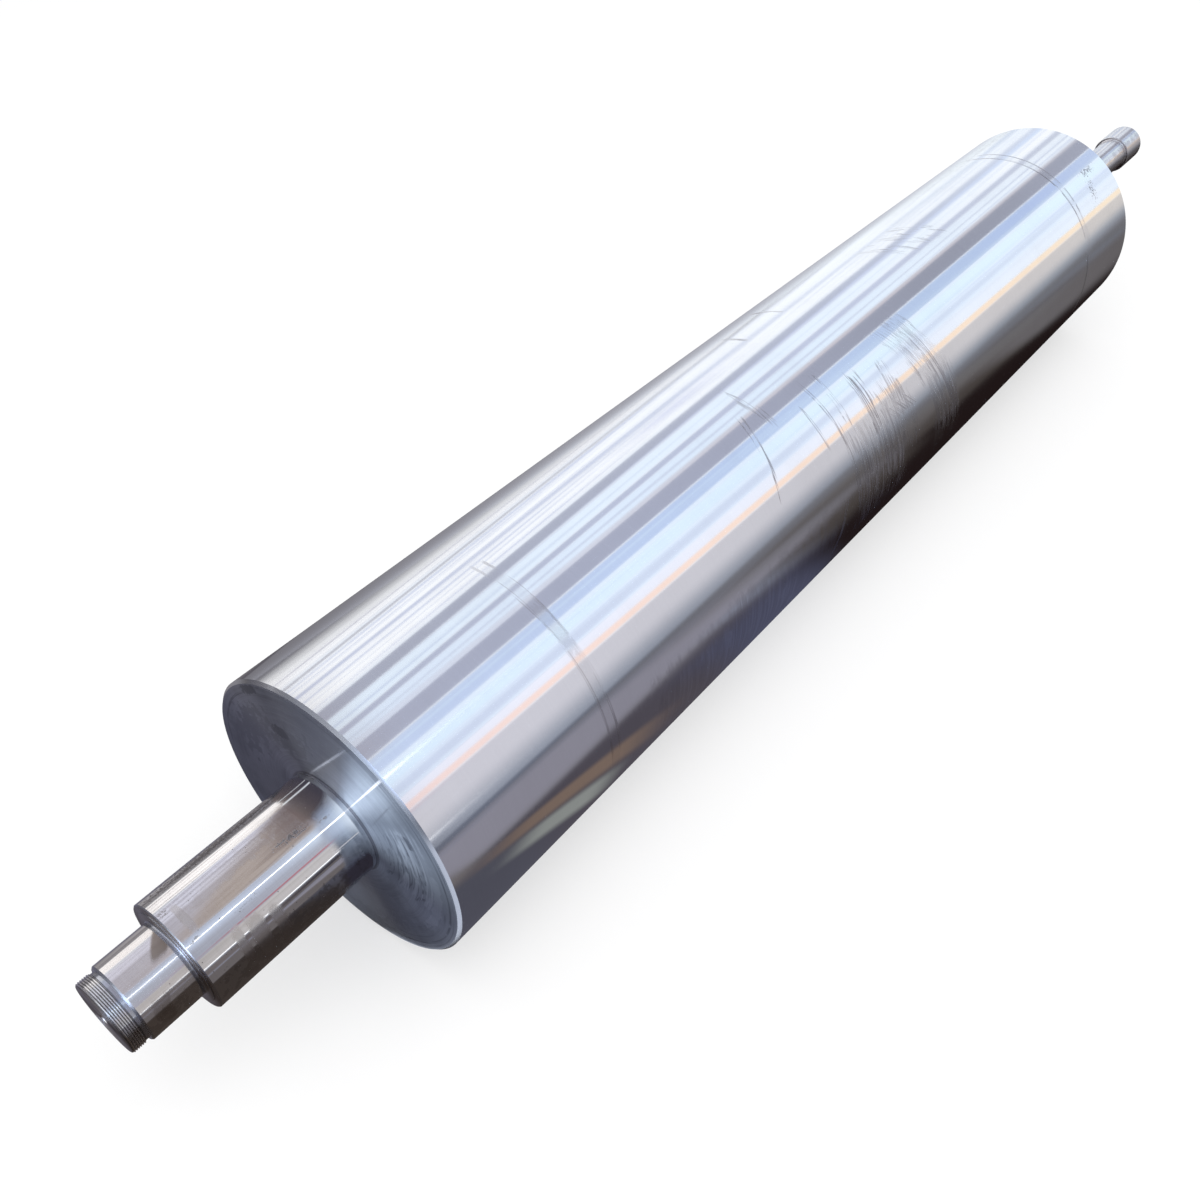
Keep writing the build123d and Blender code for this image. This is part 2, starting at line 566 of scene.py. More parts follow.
@dataclass(frozen=True)
class Steel:
    """A bare or plated steel finish, lined by the tool that cut it.

    Attributes:
        name: The material's name.
        colour: Its clean colour.
        shade: Its colour where it is scratched, stained or dull, and the colour of the painted shade in a cut
            thread's grooves and on the drive end's lower front.
        smear: Its colour where it is smeared, and on the seat the colour of a painted reflection by its
            shoulder.
        rough: Roughness where it is clean.
        rough_spread: How much the tool's lines change the roughness.
        rough_marked: Roughness where it is marked.
        lines_spacing: Width of the tool's lines.
        lines_depth: Depth of the lines in the bump, in metres.
        lines_change: How fast a line changes along its length.
        lines_shade: How much the lines change the colour.
        facing: Whether the surface is faced, so that its lines are rings.
        stretch: How far highlights spread across the lines.
        cloud: How much the broad cloudiness changes the colour.
        specks: Share of the cells that hold a speck.
        groove: Radii between which a cut thread turns from the painted shade of its grooves to bright.
        dark_marks: Scratches and stains, and on the drive end a painted shade over its lower front.
        smears: Smeared places, and on the seat a painted reflection by its shoulder.
    """

    name: str
    colour: Colour
    shade: Colour
    smear: Colour = (0.62, 0.59, 0.56)
    rough: float = 0.2
    rough_spread: float = 0.06
    rough_marked: float = 0.5
    lines_spacing: float = 0.0006
    lines_depth: float = 0.000002
    lines_change: float = 6.0
    lines_shade: float = 0.1
    facing: bool = False
    stretch: float = 0.95
    cloud: float = 0.15
    specks: float = 0.0
    groove: tuple[float, float] | None = None
    dark_marks: tuple[Mark, ...] = ()
    smears: tuple[Mark, ...] = ()

    def make(self) -> bpy.types.Material:
        """Builds the material.

        Returns:
            The finished material.
        """
        material = bpy.data.materials.new(self.name)
        bench = Bench.cleared(material)
        place = bench.add("ShaderNodeTexCoord").outputs["Object"]
        turned = bench.effect("Turned place", {"Place": place})
        across = turned["Radius"] if self.facing else turned["Along"]
        lines = {"Across": across, "Place": place, "Change": self.lines_change}
        fine, broad = (
            bench.effect("Tool lines", {**lines, "Spacing": self.lines_spacing * times})["Lines"]
            for times in (1, BROAD_WIDTH)
        )
        where = {"Place": place, "Along": across, "Around": turned["Around"]}
        # Marks, with the drive end's painted shade among them, and smears, with the seat's painted reflection
        # among them
        marked = self.strongest(bench, where, self.dark_marks)
        smeared = self.strongest(bench, where, self.smears)
        if self.specks:
            inputs = {"Place": place, "Scale": SPECKS_PER_METRE, "Cover": self.specks}
            marked = bench.math("MAXIMUM", marked, bench.effect("Specks", inputs)["Mask"])

        cloud = bench.noise(place, CLOUDS_PER_METRE, detail=5.0, rough=0.6)
        cloud = bench.math("MULTIPLY", bench.ease(cloud, *CLOUD_EDGE), broad)
        dull = bench.math("MULTIPLY", bench.math("SUBTRACT", 1.0, fine), self.lines_shade)
        dull = bench.math("MULTIPLY_ADD", cloud, self.cloud, dull, clamp=True)
        colour = bench.mix(bench.math("MAXIMUM", dull, marked), self.colour, self.shade)
        colour = bench.mix(smeared, colour, self.smear)
        # Painted shade: a cut thread darkens to its shade colour towards the root of its grooves
        if self.groove:
            colour = bench.mix(bench.ease(turned["Radius"], *self.groove), self.shade, colour)

        rough = bench.math("MULTIPLY_ADD", fine, self.rough_spread, self.rough - self.rough_spread / 2)
        rough = bench.math("MULTIPLY_ADD", cloud, self.cloud * CLOUD_ROUGHENS, rough)
        rough = bench.between(bench.math("MAXIMUM", marked, smeared), rough, self.rough_marked)
        height = bench.math("MULTIPLY_ADD", broad, BROAD_DEPTH, fine)
        inputs = {"Height": height, "Distance": self.lines_depth, "Strength": 1.0}
        bump = bench.add("ShaderNodeBump", inputs).outputs[0]
        tangent = bench.add("ShaderNodeTangent", direction_type="RADIAL", axis="X").outputs[0]
        shader = bench.add(
            "ShaderNodeBsdfPrincipled",
            {
                "Base Color": colour, "Metallic": 1.0, "Roughness": rough, "Normal": bump,
                "Anisotropic": self.stretch, "Anisotropic Rotation": QUARTER_TURN, "Tangent": tangent,
            },
        )
        bench.add("ShaderNodeOutputMaterial", {"Surface": shader.outputs[0]})
        return material

    @staticmethod
    def strongest(bench: Bench, where: dict[str, Feed], marks: Iterable[Mark]) -> Feed:
        """The strongest mask of several marks.

        Args:
            bench: The material's bench.
            where: Place, Along and Around of the point.
            marks: The marks.

        Returns:
            The mask socket, or 0 where there are no marks.
        """
        result: Feed = 0.0
        for mark in marks:
            result = bench.math("MAXIMUM", result, mark.mask(bench, where))
        return result


@dataclass(frozen=True)
class Stop:
    """Where the turning tool stops: how far out from the barrel's face, and its radius."""

    out: float
    radius: float


# The barrel
HALF_BARREL = 0.8
BARREL_RADIUS = 0.1625
BARREL_CHAMFER = 0.003

# The journal, and the land on its shoulder that the bearing is pushed against
JOURNAL_RADIUS = 0.0575
JOURNAL_OUT = 0.18
JOURNAL_CHAMFER = 0.001
JOURNAL_ROOT = 0.002
LAND_RADIUS = 0.049
LAND_OUT = 0.181
LAND_CHAMFER = 0.0002

# The bearing seat, with an undercut that ramps out at an angle in degrees
SEAT_RADIUS = 0.04
SEAT_OUT = 0.235
SEAT_CHAMFER = 0.0015
SEAT_ROOT = 0.0012
UNDERCUT_DEPTH = 0.0004
UNDERCUT_WIDTH = 0.004
UNDERCUT_RAMP = 15.0

# The lock nut thread; its groove and its end chamfer go below the crest by the relief
THREAD_RADIUS = 0.0375
THREAD_START = 0.24
THREAD_OUT = 0.252
THREAD_RELIEF = 0.0015
THREAD_ROOT = 0.0008

# The drive end's neck and collar
NECK_RADIUS = 0.0275
NECK_OUT = 0.379
NECK_ROOT = 0.002
COLLAR_RADIUS = 0.0325
COLLAR_OUT = 0.45
COLLAR_BACK = 0.001
COLLAR_CHAMFER = 0.003

# The centre holes, with the angles of their cone and of the drill's point in degrees
HOLE_MOUTH = 0.0053
HOLE_PILOT = 0.0025
PILOT_LENGTH = 0.006
CONE_ANGLE = 60.0
POINT_ANGLE = 118.0

# A stop this far from a corner holds the shading, and a corner is rounded in this many steps
SUPPORT = 0.0005
ARC_STEPS = 6

# How far a point may lie off a plane that it is on, and how near to the axis it lies on that
TOUCH = 0.00001
ON_AXIS = 0.000001

# Faces that meet at less than this, in degrees, are shaded as one
SMOOTH_ANGLE = 30.0


def root(out: float, radius: float, rounding: float) -> list[Stop]:
    """A rounded inner corner at the foot of a face, with a stop each side to hold the shading.

    Args:
        out: Where the face lies.
        radius: Radius of the cylinder that starts there.
        rounding: The corner's own radius.

    Returns:
        The stops from the face to the cylinder.
    """
    turns = [pi / 2 * step / ARC_STEPS for step in range(ARC_STEPS + 1)]
    arc = [Stop(out + rounding * (1 - cos(t)), radius + rounding * (1 - sin(t))) for t in turns]
    return [Stop(out, radius + rounding + SUPPORT), *arc, Stop(out + rounding + SUPPORT, radius)]


def rise(out: float, radius: float, rounding: float) -> list[Stop]:
    """The same corner where a cylinder ends at a face that rises from it.

    Args:
        out: Where the face lies.
        radius: Radius of the cylinder that ends there.
        rounding: The corner's own radius.

    Returns:
        The stops from the cylinder to the face.
    """
    mirrored = root(0.0, radius, rounding)
    return [Stop(out - stop.out, stop.radius) for stop in reversed(mirrored)]


def edge(out: float, radius: float, chamfer: float) -> list[Stop]:
    """The two stops of a chamfered edge that faces away from the barrel."""
    return [Stop(out - chamfer, radius), Stop(out, radius - chamfer)]


class Lathe:
    """Turns a closed body about X by extruding a ring of the blank from stop to stop."""

    def __init__(self, name: str, segments: int) -> None:
        """Sets up the lathe.

        Args:
            name: Name of the finished object.
            segments: Sides of each ring.
        """
        self.name = name
        self.segments = segments
        self.x = 0.0
        self.radius = 0.0

    def start(self, x: float, radius: float) -> None:
        """Puts a closed disc on the axis and selects its rim.

        Args:
            x: The disc's place.
            radius: Its radius.
        """
        bpy.ops.object.select_all(action="DESELECT")
        bpy.ops.mesh.primitive_circle_add(
            vertices=self.segments, radius=radius, fill_type="TRIFAN",
            location=(x, 0.0, 0.0), rotation=(0.0, pi / 2, 0.0),
        )
        bpy.context.object.name = self.name
        bpy.ops.object.transform_apply(location=True, rotation=True, scale=True)
        bpy.ops.object.mode_set(mode="EDIT")
        bpy.ops.mesh.select_mode(type="VERT")
        bpy.ops.mesh.select_all(action="DESELECT")
        bpy.ops.mesh.select_non_manifold()
        self.x, self.radius = x, radius

    def turn(self, x: float, radius: float) -> None:
        """Extrudes the selected ring to the next stop.

        Args:
            x: The stop's place.
            radius: The stop's radius.
        """
        bpy.ops.mesh.extrude_region_move(TRANSFORM_OT_translate={"value": (x - self.x, 0.0, 0.0)})
        share = radius / self.radius
        if abs(radius - self.radius) > ON_AXIS:
            bpy.ops.transform.resize(value=(1.0, share, share), center_override=(x, 0.0, 0.0))
        self.x, self.radius = x, radius

    def finish(self, tip_x: float, first_tip_x: float) -> bpy.types.Object:
        """Closes the last ring to a point and pulls the first disc's middle to its own.

        Args:
            tip_x: Place of the last point.
            first_tip_x: Place of the first point.

        Returns:
            The turned object.
        """
        bpy.ops.mesh.extrude_region_move(TRANSFORM_OT_translate={"value": (tip_x - self.x, 0.0, 0.0)})
        bpy.ops.mesh.merge(type="CENTER")
        body = bpy.context.object
        bpy.ops.object.mode_set(mode="OBJECT")
        for vertex in body.data.vertices:
            vertex.select = False
        on_axis = [v for v in body.data.vertices if Vector((v.co.y, v.co.z)).length < ON_AXIS]
        hub = min(on_axis, key=lambda v: v.co.x)
        hub.select = True
        pull = first_tip_x - hub.co.x
        bpy.ops.object.mode_set(mode="EDIT")
        bpy.ops.transform.translate(value=(pull, 0.0, 0.0))
        bpy.ops.mesh.select_all(action="SELECT")
        bpy.ops.mesh.normals_make_consistent(inside=False)
        bpy.ops.object.mode_set(mode="OBJECT")
        return body


@dataclass(frozen=True)
class ThreadCutter:
    """A single point tool that cuts a right-hand 60 degree thread.

    Attributes:
        side: The end that it cuts.
        pitch: Distance between turns.
        flank_angle: Angle of each flank to the tool's middle, in degrees.
        crest_radius: The thread's outer radius.
        depth: How deep it cuts.
        root_width: Width of the groove's flat bottom.
        overshoot: How far the tool stands out of the work.
        first_out: Where the tool starts, from the barrel's face.
        last_out: Where it runs out.
        steps_per_turn: Steps of the helix for each turn.
    """

    side: Side
    pitch: float = 0.002
    flank_angle: float = 30.0
    crest_radius: float = THREAD_RADIUS
    depth: float = 0.001227
    root_width: float = 0.00033
    overshoot: float = 0.00012
    first_out: float = 0.2368
    last_out: float = 0.2542
    steps_per_turn: int = 96

    def helix(self) -> bpy.types.Object:
        """Builds the solid that the tool sweeps.

        Returns:
            The swept solid.
        """
        height = self.depth + self.overshoot
        top_width = self.root_width + 2 * height * tan(radians(self.flank_angle))
        middle = self.crest_radius + self.overshoot - height / 2
        ends = sorted(self.side.value * (HALF_BARREL + out) for out in (self.first_out, self.last_out))
        length = ends[1] - ends[0]
        bpy.ops.object.select_all(action="DESELECT")
        bpy.ops.mesh.primitive_plane_add(size=1.0, location=(ends[0], middle, 0.0))
        tool = bpy.context.object
        bpy.ops.object.mode_set(mode="EDIT")
        bpy.ops.transform.resize(value=(top_width, height, 1.0))
        bpy.ops.mesh.delete(type="ONLY_FACE")
        bpy.ops.object.mode_set(mode="OBJECT")
        for vertex in tool.data.vertices:
            vertex.select = vertex.co.y < 0.0
        bpy.ops.object.mode_set(mode="EDIT")
        taper = self.root_width / top_width
        bpy.ops.transform.resize(value=(taper, 1.0, 1.0), center_override=(ends[0], middle, 0.0))
        bpy.ops.object.mode_set(mode="OBJECT")
        bpy.ops.object.transform_apply(location=True, rotation=True, scale=True)
        screw = tool.modifiers.new("helix", "SCREW")
        screw.axis = "X"
        screw.angle = 2 * pi * length / self.pitch
        screw.screw_offset = length
        screw.steps = screw.render_steps = round(self.steps_per_turn * length / self.pitch)
        bpy.ops.object.modifier_apply(modifier=screw.name)
        bpy.ops.object.mode_set(mode="EDIT")
        bpy.ops.mesh.select_mode(type="EDGE")
        bpy.ops.mesh.select_all(action="DESELECT")
        bpy.ops.mesh.select_non_manifold()
        bpy.ops.mesh.edge_face_add()
        bpy.ops.mesh.select_all(action="SELECT")
        bpy.ops.mesh.normals_make_consistent(inside=False)
        bpy.ops.object.mode_set(mode="OBJECT")
        return tool

    def cut(self, body: bpy.types.Object) -> None:
        """Cuts the thread into a turned body.

        Args:
            body: The turned object.
        """
        tool = self.helix()
        bpy.ops.object.select_all(action="DESELECT")
        body.select_set(True)
        bpy.context.view_layer.objects.active = body
        cut = body.modifiers.new("thread", "BOOLEAN")
        cut.operation, cut.solver, cut.object = "DIFFERENCE", "EXACT", tool
        bpy.ops.object.modifier_apply(modifier=cut.name)
        bpy.data.objects.remove(tool)


BARREL_CHROME = Steel(
    name="barrel_hard_chrome",
    colour=(0.83, 0.84, 0.86),
    shade=(0.34, 0.32, 0.33),
    smear=(0.8, 0.8, 0.8),
    rough=0.12,
    rough_spread=0.03,
    rough_marked=0.42,
    lines_spacing=0.0022,
    lines_depth=0.0000015,
    lines_change=4.0,
    lines_shade=0.1,
    cloud=0.12,
    dark_marks=(
        Scratches(-0.58, 14, 0.002, 60, 0.45, 0.0, 0.004, 0.18, 0.9),
        Scratches(-0.5675, 14, 0.002, 60, 0.55, 0.0, 0.004, 0.18, 0.9),
        Stain(-0.5735, 16, 0.0075, 62, 0.14, ragged=0.3, grain=90.0),
        Stain(-0.5735, -1, 0.0075, 13, 0.28, ragged=1.4, grain=260.0),
        Scratches(0.6375, -22, 0.0022, 50, 0.8, -0.004, 0.004, 0.26, 0.95),
        Scratches(0.6525, -18, 0.0022, 46, 0.65, -0.01, 0.004, 0.26, 0.9),
        Scratches(0.63, 52, 0.003, 20, 0.75, -0.012, 0.005, 0.2, 0.9),
        Stain(0.644, -4, 0.0085, 50, 0.12, ragged=1.0, grain=190.0),
        Scratches(-0.219, 2, 0.005, 20, 0.85, -0.05, 0.006, 0.09, 1.0),
        Scratches(-0.175, -20, 0.011, 17, 0.5, 0.0, 0.008, 0.05, 0.8),
        Scratches(-0.125, 7, 0.005, 13, 0.6, 0.0, 0.006, 0.07, 0.9),
        Scratches(-0.09, 26, 0.006, 45, 0.7, 0.004, 0.005, 0.08, 0.85),
        Scratches(-0.07, 2, 0.006, 17, 0.6, 0.0, 0.005, 0.08, 0.9),
        Scratches(-0.06, -57, 0.003, 12, 0.6, 0.0, 0.006, 0.14, 0.9),
        Scratches(0.0265, -57, 0.003, 10, 0.6, 0.0, 0.006, 0.14, 0.9),
        Scratches(-0.019, 13, 0.013, 17, 0.95, 0.0, 0.005, 0.1, 0.95),
        Scratches(0.037, 13, 0.012, 12, 0.6, -0.01, 0.005, 0.08, 0.9),
        Scratches(0.037, 25, 0.03, 4, 0.65, 0.15, 0.004, 0.1, 0.9),
        Scratches(0.105, 2, 0.04, 14, 0.45, 0.06, 0.006, 0.06, 0.8),
        Scratches(0.145, 26, 0.018, 38, 0.65, 0.045, 0.006, 0.08, 0.85),
        Scratches(-0.03, 42, 0.07, 28, 0.5, 0.006, 0.006, 0.14, 0.9),
        Scratches(0.145, 44, 0.042, 26, 0.45, 0.03, 0.006, 0.14, 0.8),
        Scratches(-0.129, 54, 0.005, 14, 0.8, -0.05, 0.006, 0.12, 0.9),
        Scratches(0.3, -38, 0.07, 16, 0.45, 0.09, 0.007, 0.07, 0.55),
        Scratches(-0.324, 63, 0.21, 27, 0.3, 0.0, 0.007, 0.22, 0.95),
        Scratches(0.02, 28, 0.05, 22, 0.6, 0.01, 0.0035, 0.07, 0.75),
        Scratches(0.11, 14, 0.03, 14, 0.6, 0.05, 0.0035, 0.07, 0.75),
        Stain(0.715, 8, 0.02, 11, 0.8, -0.06, ragged=4.0, grain=300.0, sparse=0.75),
        Stain(0.735, -2, 0.032, 3, 0.8, 0.02, ragged=4.0, grain=300.0, sparse=0.55),
    ),
    smears=(
        Scratches(-0.025, 40, 0.065, 28, 0.65, 0.006, 0.005, 0.12, 0.85),
        Scratches(0.14, 30, 0.032, 34, 0.6, 0.045, 0.005, 0.1, 0.85),
        Scratches(-0.324, 64, 0.21, 22, 0.22, 0.0, 0.009, 0.16, 0.9),
    ),
)
BRIGHT_EDGE = Steel(
    name="bright_machined_edge",
    colour=(0.46, 0.48, 0.53),
    shade=(0.2, 0.21, 0.25),
    rough=0.24,
    lines_spacing=0.0005,
    lines_shade=0.2,
)
FACED_END = Steel(
    name="barrel_faced_end",
    colour=(0.5, 0.54, 0.62),
    shade=(0.14, 0.15, 0.19),
    smear=(0.7, 0.74, 0.82),
    rough=0.36,
    rough_spread=0.12,
    rough_marked=0.5,
    lines_spacing=0.0011,
    lines_depth=0.00006,
    lines_change=7.0,
    lines_shade=0.7,
    facing=True,
    stretch=1.0,
    cloud=0.7,
    dark_marks=(
        Scratches(0.151, 20, 0.0016, 170, 0.8, 0.0, 0.004, 0.2, 0.9),
        Scratches(0.156, 60, 0.0012, 170, 0.7, 0.0, 0.004, 0.2, 0.9),
        Scratches(0.144, 50, 0.0014, 90, 0.6, 0.0, 0.004, 0.2, 0.9),
        Stain(0.153, -68, 0.006, 7, 0.8, ragged=1.8, grain=120.0),
        Stain(0.106, -63, 0.008, 8, 0.8, ragged=2.4, grain=130.0),
        Stain(0.123, 27, 0.006, 4, 0.8, ragged=2.0, grain=140.0),
        Stain(0.095, 46, 0.004, 14, 0.6, -0.02, ragged=1.6, grain=120.0),
        Stain(0.08, 70, 0.005, 16, 0.5, -0.02, ragged=1.6, grain=120.0),
        Scratches(0.1, 50, 0.03, 32, 0.8, -0.014, 0.006, 0.12, 0.85),
        Scratches(0.075, 34, 0.012, 22, 0.7, -0.01, 0.005, 0.12, 0.8),
        Stain(0.086, 102, 0.015, 22, 0.45, ragged=2.6, grain=70.0),
        Stain(0.12, -92, 0.026, 26, 0.6, ragged=4.2, grain=90.0, sparse=0.1),
        Stain(0.095, -58, 0.018, 18, 0.65, ragged=4.0, grain=100.0),
        Stain(0.115, 130, 0.024, 40, 0.45, ragged=4.0, grain=90.0),
    ),
    smears=(
        Scratches(0.113, 46, 0.026, 30, 0.55, -0.014, 0.007, 0.1, 0.8),
        Stain(0.135, 64, 0.006, 26, 0.3, -0.01, ragged=2.0, grain=90.0),
    ),
)
# Painted shade: the rounded root between the barrel's face and the journal is darkened so that it shows
# little light
ROOT_PAINTED_SHADE = Steel(
    name="root_painted_shade",
    colour=(0.2, 0.21, 0.25),
    shade=(0.07, 0.07, 0.09),
    rough=0.36,
    lines_spacing=0.0005,
    lines_shade=0.5,
)
GROUND_JOURNAL = Steel(
    name="ground_journal",
    colour=(0.81, 0.81, 0.82),
    shade=(0.24, 0.22, 0.21),
    smear=(0.6, 0.57, 0.54),
    rough=0.07,
    rough_spread=0.04,
    rough_marked=0.36,
    lines_spacing=0.0009,
    lines_shade=0.16,
    stretch=0.85,
    cloud=0.3,
    specks=0.03,
    dark_marks=(
        Stain(-0.855, -15.0, 0.012, 3.4, 0.9, ragged=5.0, grain=520.0, sparse=0.45),
        Stain(-0.868, -16.2, 0.008, 0.8, 0.8, ragged=2.6, grain=420.0, sparse=0.1),
        Stain(-0.848, -11.8, 0.009, 0.7, 0.7, ragged=3.0, grain=420.0, sparse=0.1),
        Stain(-0.974, -38.0, 0.006, 6.0, 0.7, ragged=5.0, grain=520.0, sparse=0.6),
        Stain(-0.969, -1.0, 0.009, 2.4, 0.7, ragged=5.0, grain=520.0, sparse=0.6),
        Stain(-0.824, -8.0, 0.007, 1.6, 0.7, ragged=4.0, grain=420.0, sparse=0.4),
        Stain(-0.92, 4.0, 0.03, 4.0, 0.45, ragged=5.0, grain=620.0, sparse=0.9),
        Stain(-0.9, -71.0, 0.09, 10.0, 0.9, ragged=5.0, grain=420.0, sparse=0.3),
        Stain(-0.93, -63.0, 0.05, 5.0, 0.8, ragged=6.0, grain=640.0, sparse=0.5),
        Stain(-0.9, 56.0, 0.075, 16.0, 0.4, ragged=4.5, grain=110.0, sparse=0.2),
    ),
    smears=(
        Stain(-0.9645, -22, 0.0042, 18, 0.55, ragged=0.4, grain=120.0),
        Stain(-0.942, 34, 0.0055, 24, 0.75, ragged=1.2, grain=90.0),
        Stain(-0.925, 44, 0.009, 34, 0.8, ragged=1.2, grain=80.0),
        Stain(-0.905, 46, 0.007, 30, 0.75, ragged=1.2, grain=80.0),
        Stain(-0.89, 62, 0.06, 14, 0.6, ragged=3.5, grain=120.0, sparse=0.2),
        Stain(-0.935, 58, 0.014, 20, 0.45, ragged=2.6, grain=110.0),
        Stain(-0.87, 60, 0.024, 12, 0.65, ragged=3.6, grain=140.0, sparse=0.2),
        Stain(-0.91, -30, 0.05, 10, 0.16, ragged=2.4, grain=80.0),
    ),
)
GROUND_SEAT = Steel(
    name="ground_seat",
    colour=(0.82, 0.81, 0.81),
    shade=(0.3, 0.27, 0.26),
    smear=(0.34, 0.29, 0.25),
    rough=0.13,
    rough_marked=0.34,
    lines_spacing=0.0007,
    lines_shade=0.12,
    cloud=0.25,
    specks=0.02,
    dark_marks=(
        Stain(-1.01, 56.0, 0.024, 16.0, 0.35, ragged=4.5, grain=140.0, sparse=0.2),
        Stain(-1.008, 30.0, 0.02, 8.0, 0.2, ragged=4.0, grain=160.0, sparse=0.1),
    ),
    smears=(
        # Painted reflection: a dark taupe wedge by the shoulder, drawn in the smear colour
        Stain(-0.985, -32, 0.0105, 22, 0.95, -0.031, ragged=0.2, grain=60.0),
        Stain(-1.016, 44, 0.009, 24, 0.4, ragged=1.4, grain=90.0),
    ),
)
CUT_THREAD = Steel(
    name="cut_thread",
    colour=(0.96, 0.96, 0.97),
    shade=(0.018, 0.016, 0.018),
    rough=0.2,
    rough_spread=0.06,
    lines_spacing=0.0009,
    lines_shade=0.1,
    cloud=0.1,
    # Painted shade in the thread's grooves, darkest at their root
    groove=(0.036, 0.0368),
)
TURNED_RELIEF = Steel(
    name="turned_relief",
    colour=(0.58, 0.61, 0.68),
    shade=(0.14, 0.14, 0.16),
    rough=0.24,
    lines_spacing=0.0012,
    lines_shade=0.45,
    cloud=0.1,
)
END_FACE = Steel(
    name="threaded_end_face",
    colour=(0.6, 0.55, 0.53),
    shade=(0.08, 0.07, 0.07),
    rough=0.34,
    lines_spacing=0.0008,
    lines_shade=0.6,
    facing=True,
    cloud=0.8,
)
# Painted highlight: the centre hole's wall is made far brighter than the end face's steel around it
HOLE_PAINTED_HIGHLIGHT = Steel(
    name="centre_hole_painted_highlight",
    colour=(0.96, 0.96, 0.97),
    shade=(0.6, 0.6, 0.62),
    rough=0.16,
    lines_spacing=0.0008,
    lines_shade=0.1,
)
DRIVE_STEEL = Steel(
    name="turned_drive_end",
    colour=(0.8, 0.79, 0.8),
    shade=(0.24, 0.2, 0.19),
    rough=0.22,
    rough_spread=0.1,
    lines_spacing=0.0012,
    lines_shade=0.3,
    cloud=0.5,
    # Painted shade: blotchy reddish-brown darkening towards the drive end's lower front
    dark_marks=(Stain(1.2, 30, 0.1, 30, 0.35, ragged=3.0, grain=90.0),),
)


def shared_stops() -> list[Stop]:
    """The stops from the barrel's edge to the thread's end, which are the same at both ends.

    Returns:
        The stops, going out.
    """
    undercut = SEAT_RADIUS - UNDERCUT_DEPTH
    ramp = UNDERCUT_DEPTH / tan(radians(UNDERCUT_RAMP))
    ramp_out = LAND_OUT + UNDERCUT_WIDTH
    groove = THREAD_RADIUS - THREAD_RELIEF
    return [
        *edge(0.0, BARREL_RADIUS, BARREL_CHAMFER),
        *root(0.0, JOURNAL_RADIUS, JOURNAL_ROOT),
        *edge(JOURNAL_OUT, JOURNAL_RADIUS, JOURNAL_CHAMFER),
        Stop(JOURNAL_OUT, LAND_RADIUS),
        *edge(LAND_OUT, LAND_RADIUS, LAND_CHAMFER),
        *root(LAND_OUT, undercut, SEAT_ROOT),
        Stop(ramp_out - ramp, undercut),
        Stop(ramp_out, SEAT_RADIUS),
        Stop(ramp_out + SUPPORT, SEAT_RADIUS),
        *edge(SEAT_OUT, SEAT_RADIUS, SEAT_CHAMFER),
        *root(SEAT_OUT, groove, THREAD_ROOT),
        Stop(THREAD_START - THREAD_RELIEF, groove),
        Stop(THREAD_START, THREAD_RADIUS),
        *edge(THREAD_OUT, THREAD_RADIUS, THREAD_RELIEF),
    ]


def drive_stops() -> list[Stop]:
    """The stops of the drive end: the neck between its rounded corners, then the collar.

    Returns:
        The stops, going out.
    """
    return [
        *root(THREAD_OUT, NECK_RADIUS, NECK_ROOT),
        *rise(NECK_OUT, NECK_RADIUS, NECK_ROOT),
        Stop(NECK_OUT, COLLAR_RADIUS - COLLAR_BACK),
        Stop(NECK_OUT + COLLAR_BACK, COLLAR_RADIUS),
        *edge(COLLAR_OUT, COLLAR_RADIUS, COLLAR_CHAMFER),
    ]


def hole_stops(face: float) -> list[Stop]:
    """The stops of a centre hole: its mouth, the floors of its cone and its pilot, and its point.

    Args:
        face: Where the end face lies.

    Returns:
        The stops, going in.
    """
    cone_floor = face - (HOLE_MOUTH - HOLE_PILOT) / tan(radians(CONE_ANGLE / 2))
    floor = cone_floor - PILOT_LENGTH
    point = floor - HOLE_PILOT / tan(radians(POINT_ANGLE / 2))
    places = ((face, HOLE_MOUTH), (cone_floor, HOLE_PILOT), (floor, HOLE_PILOT), (point, 0.0))
    return [Stop(*place) for place in places]


@dataclass(frozen=True)
class Zone:
    """A stretch of an end that has a finish of its own.

    Attributes:
        finish: The finish.
        start: Where it starts, from the barrel's face.
        end: Where it ends.
        within: The radius that it stays within.
        beyond: The radius that it stays beyond.
    """

    finish: Steel
    start: float
    end: float
    within: float = 1.0
    beyond: float = 0.0

    def holds(self, out: float, radius: float) -> bool:
        """Whether a point of the end lies in the zone."""
        return self.start < out < self.end and self.beyond <= radius < self.within


def hole_zones(face: float) -> tuple[Zone, Zone]:
    """The zones of a centre hole.

    Args:
        face: Where the end face lies.

    Returns:
        Its wall, brightened as a painted highlight, and the end face that it is sunk into.
    """
    wall = Zone(HOLE_PAINTED_HIGHLIGHT, 0.0, face - 2 * TOUCH, HOLE_MOUTH + TOUCH)
    return wall, Zone(END_FACE, face - 2 * TOUCH, face + 2 * TOUCH)


